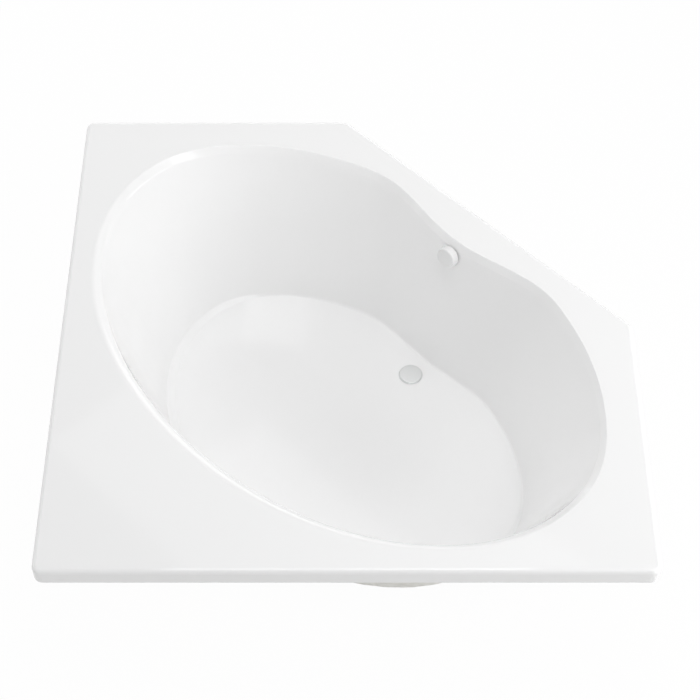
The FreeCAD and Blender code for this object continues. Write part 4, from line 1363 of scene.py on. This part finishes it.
@dataclass(frozen=True)
class LevellingFeet:
    """Four feet: a ribbed pad, a threaded stud with a spanner collar, and the nuts that hold it."""

    # Nuts and the stud's collar: flats, and the chamfer's height and end face as shares of them.
    nut_flats: float = 19.0 * MM
    collar_flats: float = 17.0 * MM
    collar: float = 6.0 * MM
    chamfer_share: float = 0.06
    face_share: float = 0.475
    chamfer: float = math.radians(30.0)
    corner_at: float = math.radians(15.0)
    hexagon_steps: int = 72
    sharp_deg: float = 25.0
    # The stud's thread; its wave is stretched and clipped to flatten the crests and roots.
    bore_r: float = 6.0 * MM
    pitch: float = 1.75 * MM
    thread: float = 1.0 * MM
    stretch: float = 1.25
    crest: float = 0.12
    pitch_rows: float = 8.0
    stud_steps: int = 40
    # The pad: its rim, its grooved slope and its socket.
    pad_top_r: float = 14.0 * MM
    pad_edge: float = 5.0 * MM
    pad_socket: float = 8.0 * MM
    base_r: float = 1.2 * MM
    rim_r: float = 1.5 * MM
    mouth_r: float = 0.5 * MM
    stud_gap: float = 0.3 * MM
    groove: float = 0.7 * MM
    grooves: int = 18
    pad_steps: int = 144

    def hexagon(self, flats: float, height: float) -> Array:
        """Section of a chamfered nut at each turn.

        Formula: the radius is the less of a hexagon's, half the flats over the cosine of the turn from the
        nearest flat, and a cone's that opens from each end face at 30 degrees.

        Args:
            flats: width across flats.
            height: the nut's height.

        Returns:
            Radius and height, rows by steps by 2.
        """
        sector = math.pi / 3.0
        turn = (all_round(self.hexagon_steps) - self.corner_at) % sector - sector / 2.0
        rise = self.chamfer_share * flats * np.linspace(0.0, 1.0, 6)
        level = np.concatenate([rise, height - rise[::-1]])
        cone = self.face_share * flats + np.minimum(level, height - level) / math.tan(self.chamfer)
        radius = np.minimum((flats / 2.0 / np.cos(turn))[None], cone[:, None])
        bore = np.full((1, self.hexagon_steps), self.bore_r)
        return sized(np.concatenate([bore, radius, bore]), np.concatenate([[0.0], level, [height]]))

    def nuts(self, name: str, spots: Sequence[Array]) -> None:
        """Builds chamfered nuts in the place of a CAD node, one on each foot.

        Args:
            name: the CAD node.
            spots: a point on each foot's axis.
        """
        low, high = own_box(name)
        rows = self.hexagon(self.nut_flats, float(high[2] - low[2]))
        grids = [revolved(rows, lifted(spot, low[2]), UP) for spot in spots]
        patches = ((points, Ring.TORUS) for points in grids)
        piece = grid_piece(name + "_chamfered", *patches, sharp_deg=self.sharp_deg)
        place_piece(piece, STEEL, "tub", name)

    def thread_points(self, spot: Array, low: float, high: float) -> Array:
        """Screw thread from a plain neck to a chamfered tip.

        Formula: the radius falls from the crest by the thread's depth times a triangle wave of the height
        over the pitch less the share of a turn; it fades at the neck and is cut by a cone at the tip.

        Args:
            spot: point on the stud's axis.
            low: height of the neck.
            high: height of the tip.

        Returns:
            Rows by steps by 3.
        """
        level = np.linspace(low, high, int((high - low) / self.pitch * self.pitch_rows))
        share = np.arange(self.stud_steps) / self.stud_steps
        phase = level[:, None] / self.pitch - share[None]
        triangle = np.abs(2.0 * (phase - np.floor(phase + 0.5)))
        wave = np.clip(self.stretch * triangle - self.crest, 0.0, 1.0)
        fade = np.clip((level - low) / (2.0 * self.pitch), 0.0, 1.0)[:, None]
        radius = self.bore_r - self.thread * wave * fade
        radius = np.minimum(radius, self.bore_r - self.thread + (high - level)[:, None])
        sizes = sized(radius, level)
        cap = sizes[-1:] * np.array([0.0, 1.0])
        return revolved(np.concatenate([sizes, cap]), lifted(spot, 0.0), UP)

    def pad_points(self, low: Array, high: Array) -> Array:
        """Moulded pad: a rim, a grooved slope and a socket.

        Formula: a rounded section turned about the foot's axis; on the slope the height drops by the groove's
        depth times a raised cosine, squared, of the turn times the count of grooves.

        Args:
            low: low corner of the pad's box.
            high: its high corner.

        Returns:
            Rows by steps by 3.
        """
        radius, top = float(high[0] - low[0]) / 2.0, float(high[2])
        hole, seat = self.bore_r + self.stud_gap, top - self.pad_socket
        rim, crown = np.array([radius, self.pad_edge]), np.array([self.pad_top_r, top])
        slope = rim + (crown - rim) * np.linspace(0.12, 0.88, 7)[:, None]
        slope_low, slope_high = rim + (crown - rim) * 0.1, rim + (crown - rim) * 0.9
        foot = rounded([
            (0.0, 0.0, 0.0), (radius, 0.0, self.base_r), (*rim, self.rim_r), (*slope_low, 0.0),
        ])
        neck = rounded([
            (*slope_high, 0.0), (*crown, self.base_r), (hole, top, self.mouth_r), (hole, seat, 0.0),
            (0.0, seat, 0.0),
        ])
        rows = np.vstack([foot, slope, neck])
        depth = np.zeros(len(rows))
        swing = np.sin(math.pi * np.linspace(0.05, 0.95, len(slope)))
        depth[len(foot):len(foot) + len(slope)] = self.groove * swing
        ribs = (0.5 + 0.5 * np.cos(self.grooves * all_round(self.pad_steps))) ** 2
        sizes = np.repeat(rows[:, None, :], self.pad_steps, axis=1)
        sizes[..., 1] -= depth[:, None] * ribs[None]
        return revolved(sizes, lifted((low + high) / 2.0, low[2]), UP)

    def foot(self, number: int) -> Array:
        """Builds one foot's pad and stud.

        Args:
            number: which foot.

        Returns:
            The middle of its pad.
        """
        pad_node, stud_node = f"foot_pad_{number}", f"foot_stud_{number}"
        low, high = rest_box(pad_node)
        pad = grid_piece(pad_node + "_moulded", (self.pad_points(low, high), Ring.ROUND))
        place_piece(pad, PAD_PLASTIC, f"foot_{number}", pad_node)
        spot, seat = (low + high) / 2.0, high[2]
        base, tip = (corner[2] for corner in rest_box(stud_node))
        collar = revolved(self.hexagon(self.collar_flats, self.collar), lifted(spot, seat), UP)
        neck = seat + self.collar / 2.0
        shank = np.array([(0.0, base), (self.bore_r, base), (self.bore_r, neck), (0.0, neck)])
        stud = grid_piece(
            stud_node + "_threaded", (collar, Ring.TORUS),
            (revolved(shank, lifted(spot, 0.0), UP, self.stud_steps), Ring.ROUND),
            (self.thread_points(spot, seat + self.collar * 0.6, tip), Ring.ROUND), sharp_deg=self.sharp_deg,
        )
        place_piece(stud, STEEL, f"stud_{number}", stud_node)
        return spot

    def build(self) -> None:
        """Builds the feet and their nuts."""
        spots = [self.foot(number) for number in range(1, 5)]
        self.nuts("rail_weld_nuts", spots)
        self.nuts("foot_lock_nuts", spots)


@dataclass(frozen=True)
class Lamp:
    """A soft rectangular lamp that looks at a point of the bath.

    Attributes:
        name: what it is for.
        place: where it stands.
        size: its width and height.
        power: its watts.
        aim: the point that it looks at.
        roll: its turn about the line to that point, in degrees.
        mirrored: whether bright surfaces mirror it.
    """

    name: str
    place: tuple[float, float, float]
    size: tuple[float, float]
    power: float
    aim: tuple[float, float, float] = (0.0, 0.0, 0.4)
    roll: float = 0.0
    mirrored: bool = True

    def build(self) -> None:
        """Hangs the lamp."""
        light = bpy.data.lights.new(self.name, "AREA")
        light.shape = "RECTANGLE"
        light.size, light.size_y = self.size
        light.energy = self.power
        made = bpy.data.objects.new(self.name, light)
        made.location = self.place
        facing = (Vector(self.aim) - Vector(self.place)).to_track_quat("-Z", "Y")
        made.rotation_euler = (facing @ Quaternion((0.0, 0.0, 1.0), math.radians(self.roll))).to_euler()
        made.visible_camera = False
        made.visible_glossy = self.mirrored
        bpy.context.scene.collection.objects.link(made)
        LOG.info("hung %s", self.name)


@dataclass(frozen=True)
class Studio:
    """White floor, soft lamps and the camera."""

    floor_half: float = 14.0
    floor_paint: str = "#f4f4f4"
    floor_glow: float = 0.97
    dome: float = 0.1
    camera_place: tuple[float, float, float] = (0.0082, -2.9386, 4.2978)
    camera_tilt: float = math.radians(37.65)
    lens_mm: float = 91.03
    sensor_mm: float = 36.0
    lamps: tuple[Lamp, ...] = (
        Lamp("strip_above", (0.415, 0.415, 3.0), (3.56, 1.14), 7.6, (0.415, 0.415, 0.0), -45.0),
        Lamp("panel_back_right", (2.1, 2.1, 2.6), (5.0, 1.6), 10.4, (0.0, 0.0, 0.5)),
        Lamp("key_right", (3.6, -0.6, 1.5), (3.0, 2.4), 54.0),
        Lamp("fill_right_front", (3.6, -3.6, 2.1), (3.0, 2.4), 60.0),
        Lamp("fill_left_front", (-2.6, -2.6, 1.8), (3.0, 2.4), 27.3),
        Lamp("fill_left", (-3.6, 0.0, 2.0), (3.0, 2.4), 10.0),
        Lamp("rim_left_back", (-2.6, 2.6, 2.4), (3.0, 2.4), 38.0, mirrored=False),
        Lamp("rim_back", (0.0, 3.8, 1.6), (3.0, 2.4), 24.5),
        Lamp("top", (0.0, 0.0, 5.6), (2.0, 2.0), 65.2),
        Lamp("top_right", (2.4, 0.3, 4.6), (2.0, 2.0), 8.8),
        Lamp("top_right_front", (2.2, -2.2, 4.6), (2.0, 2.0), 32.1),
    )

    def seen_rays(self, tree: Tree) -> Socket:
        """Gives 1 for what the camera sees, straight or by a reflection or through glass.

        Args:
            tree: node tree that gets the nodes.

        Returns:
            The socket that says so.
        """
        path = add_node(tree, "ShaderNodeLightPath").outputs
        both = {0: path["Is Camera Ray"], 1: path["Is Glossy Ray"]}
        first = add_node(tree, "ShaderNodeMath", both, operation="MAXIMUM").outputs["Value"]
        rest = {0: first, 1: path["Is Transmission Ray"]}
        return add_node(tree, "ShaderNodeMath", rest, operation="MAXIMUM").outputs["Value"]

    def build_world(self) -> None:
        """Makes a white surround that lights the bath at a plain level."""
        world = bpy.data.worlds.new("white_surround")
        world.use_nodes = True
        tree = world.node_tree
        tree.nodes.clear()
        lit = add_node(tree, "ShaderNodeBackground", {"Color": linear(WHITE), "Strength": self.dome})
        seen = add_node(tree, "ShaderNodeBackground", {"Color": linear(WHITE), "Strength": 1.0})
        sides = {0: self.seen_rays(tree), 1: lit.outputs["Background"], 2: seen.outputs["Background"]}
        mixed = add_node(tree, "ShaderNodeMixShader", sides)
        add_node(tree, "ShaderNodeOutputWorld", {"Surface": mixed.outputs["Shader"]})
        bpy.context.scene.world = world

    def build_floor(self) -> None:
        """Lays the pale floor, nearly white to the camera and still shaded by the bath."""
        material = bpy.data.materials.new("studio_floor_white")
        material.use_nodes = True
        tree = material.node_tree
        tree.nodes.clear()
        paint = add_node(tree, "ShaderNodeBsdfDiffuse", {"Color": linear(self.floor_paint)})
        glow = add_node(tree, "ShaderNodeEmission", {"Color": linear(WHITE), "Strength": 1.0})
        share = {0: self.seen_rays(tree), 1: self.floor_glow}
        part = add_node(tree, "ShaderNodeMath", share, operation="MULTIPLY").outputs["Value"]
        sides = {0: part, 1: paint.outputs["BSDF"], 2: glow.outputs["Emission"]}
        mixed = add_node(tree, "ShaderNodeMixShader", sides)
        add_node(tree, "ShaderNodeOutputMaterial", {"Surface": mixed.outputs["Shader"]})
        ends = np.array([-self.floor_half, self.floor_half])
        x, y = np.meshgrid(ends, ends)
        floor = grid_piece("studio_floor", (np.stack([x, y, np.zeros_like(x)], axis=-1), Ring.OPEN))
        floor.data.materials.append(material)

    def build_camera(self) -> None:
        """Sets the camera where the bath is seen from."""
        lens = bpy.data.cameras.new("camera")
        lens.lens = self.lens_mm
        lens.sensor_width = self.sensor_mm
        lens.sensor_fit = "HORIZONTAL"
        camera = bpy.data.objects.new("camera", lens)
        camera.location = self.camera_place
        camera.rotation_euler = (self.camera_tilt, 0.0, 0.0)
        bpy.context.scene.collection.objects.link(camera)
        bpy.context.scene.camera = camera

    def build(self) -> None:
        """Builds the studio."""
        bpy.context.scene.view_settings.view_transform = "Standard"
        self.build_camera()
        self.build_world()
        self.build_floor()
        for lamp in self.lamps:
            lamp.build()


def main() -> None:
    """Builds the studio and every sub-assembly in order."""
    logging.basicConfig(level=logging.INFO)
    parts = (
        Studio(), BathShell(), Overflow(), PopUpWaste(), WastePipes(), Underframe(), LevellingFeet(),
    )
    for part in parts:
        part.build()


if __name__ == "__main__":
    main()
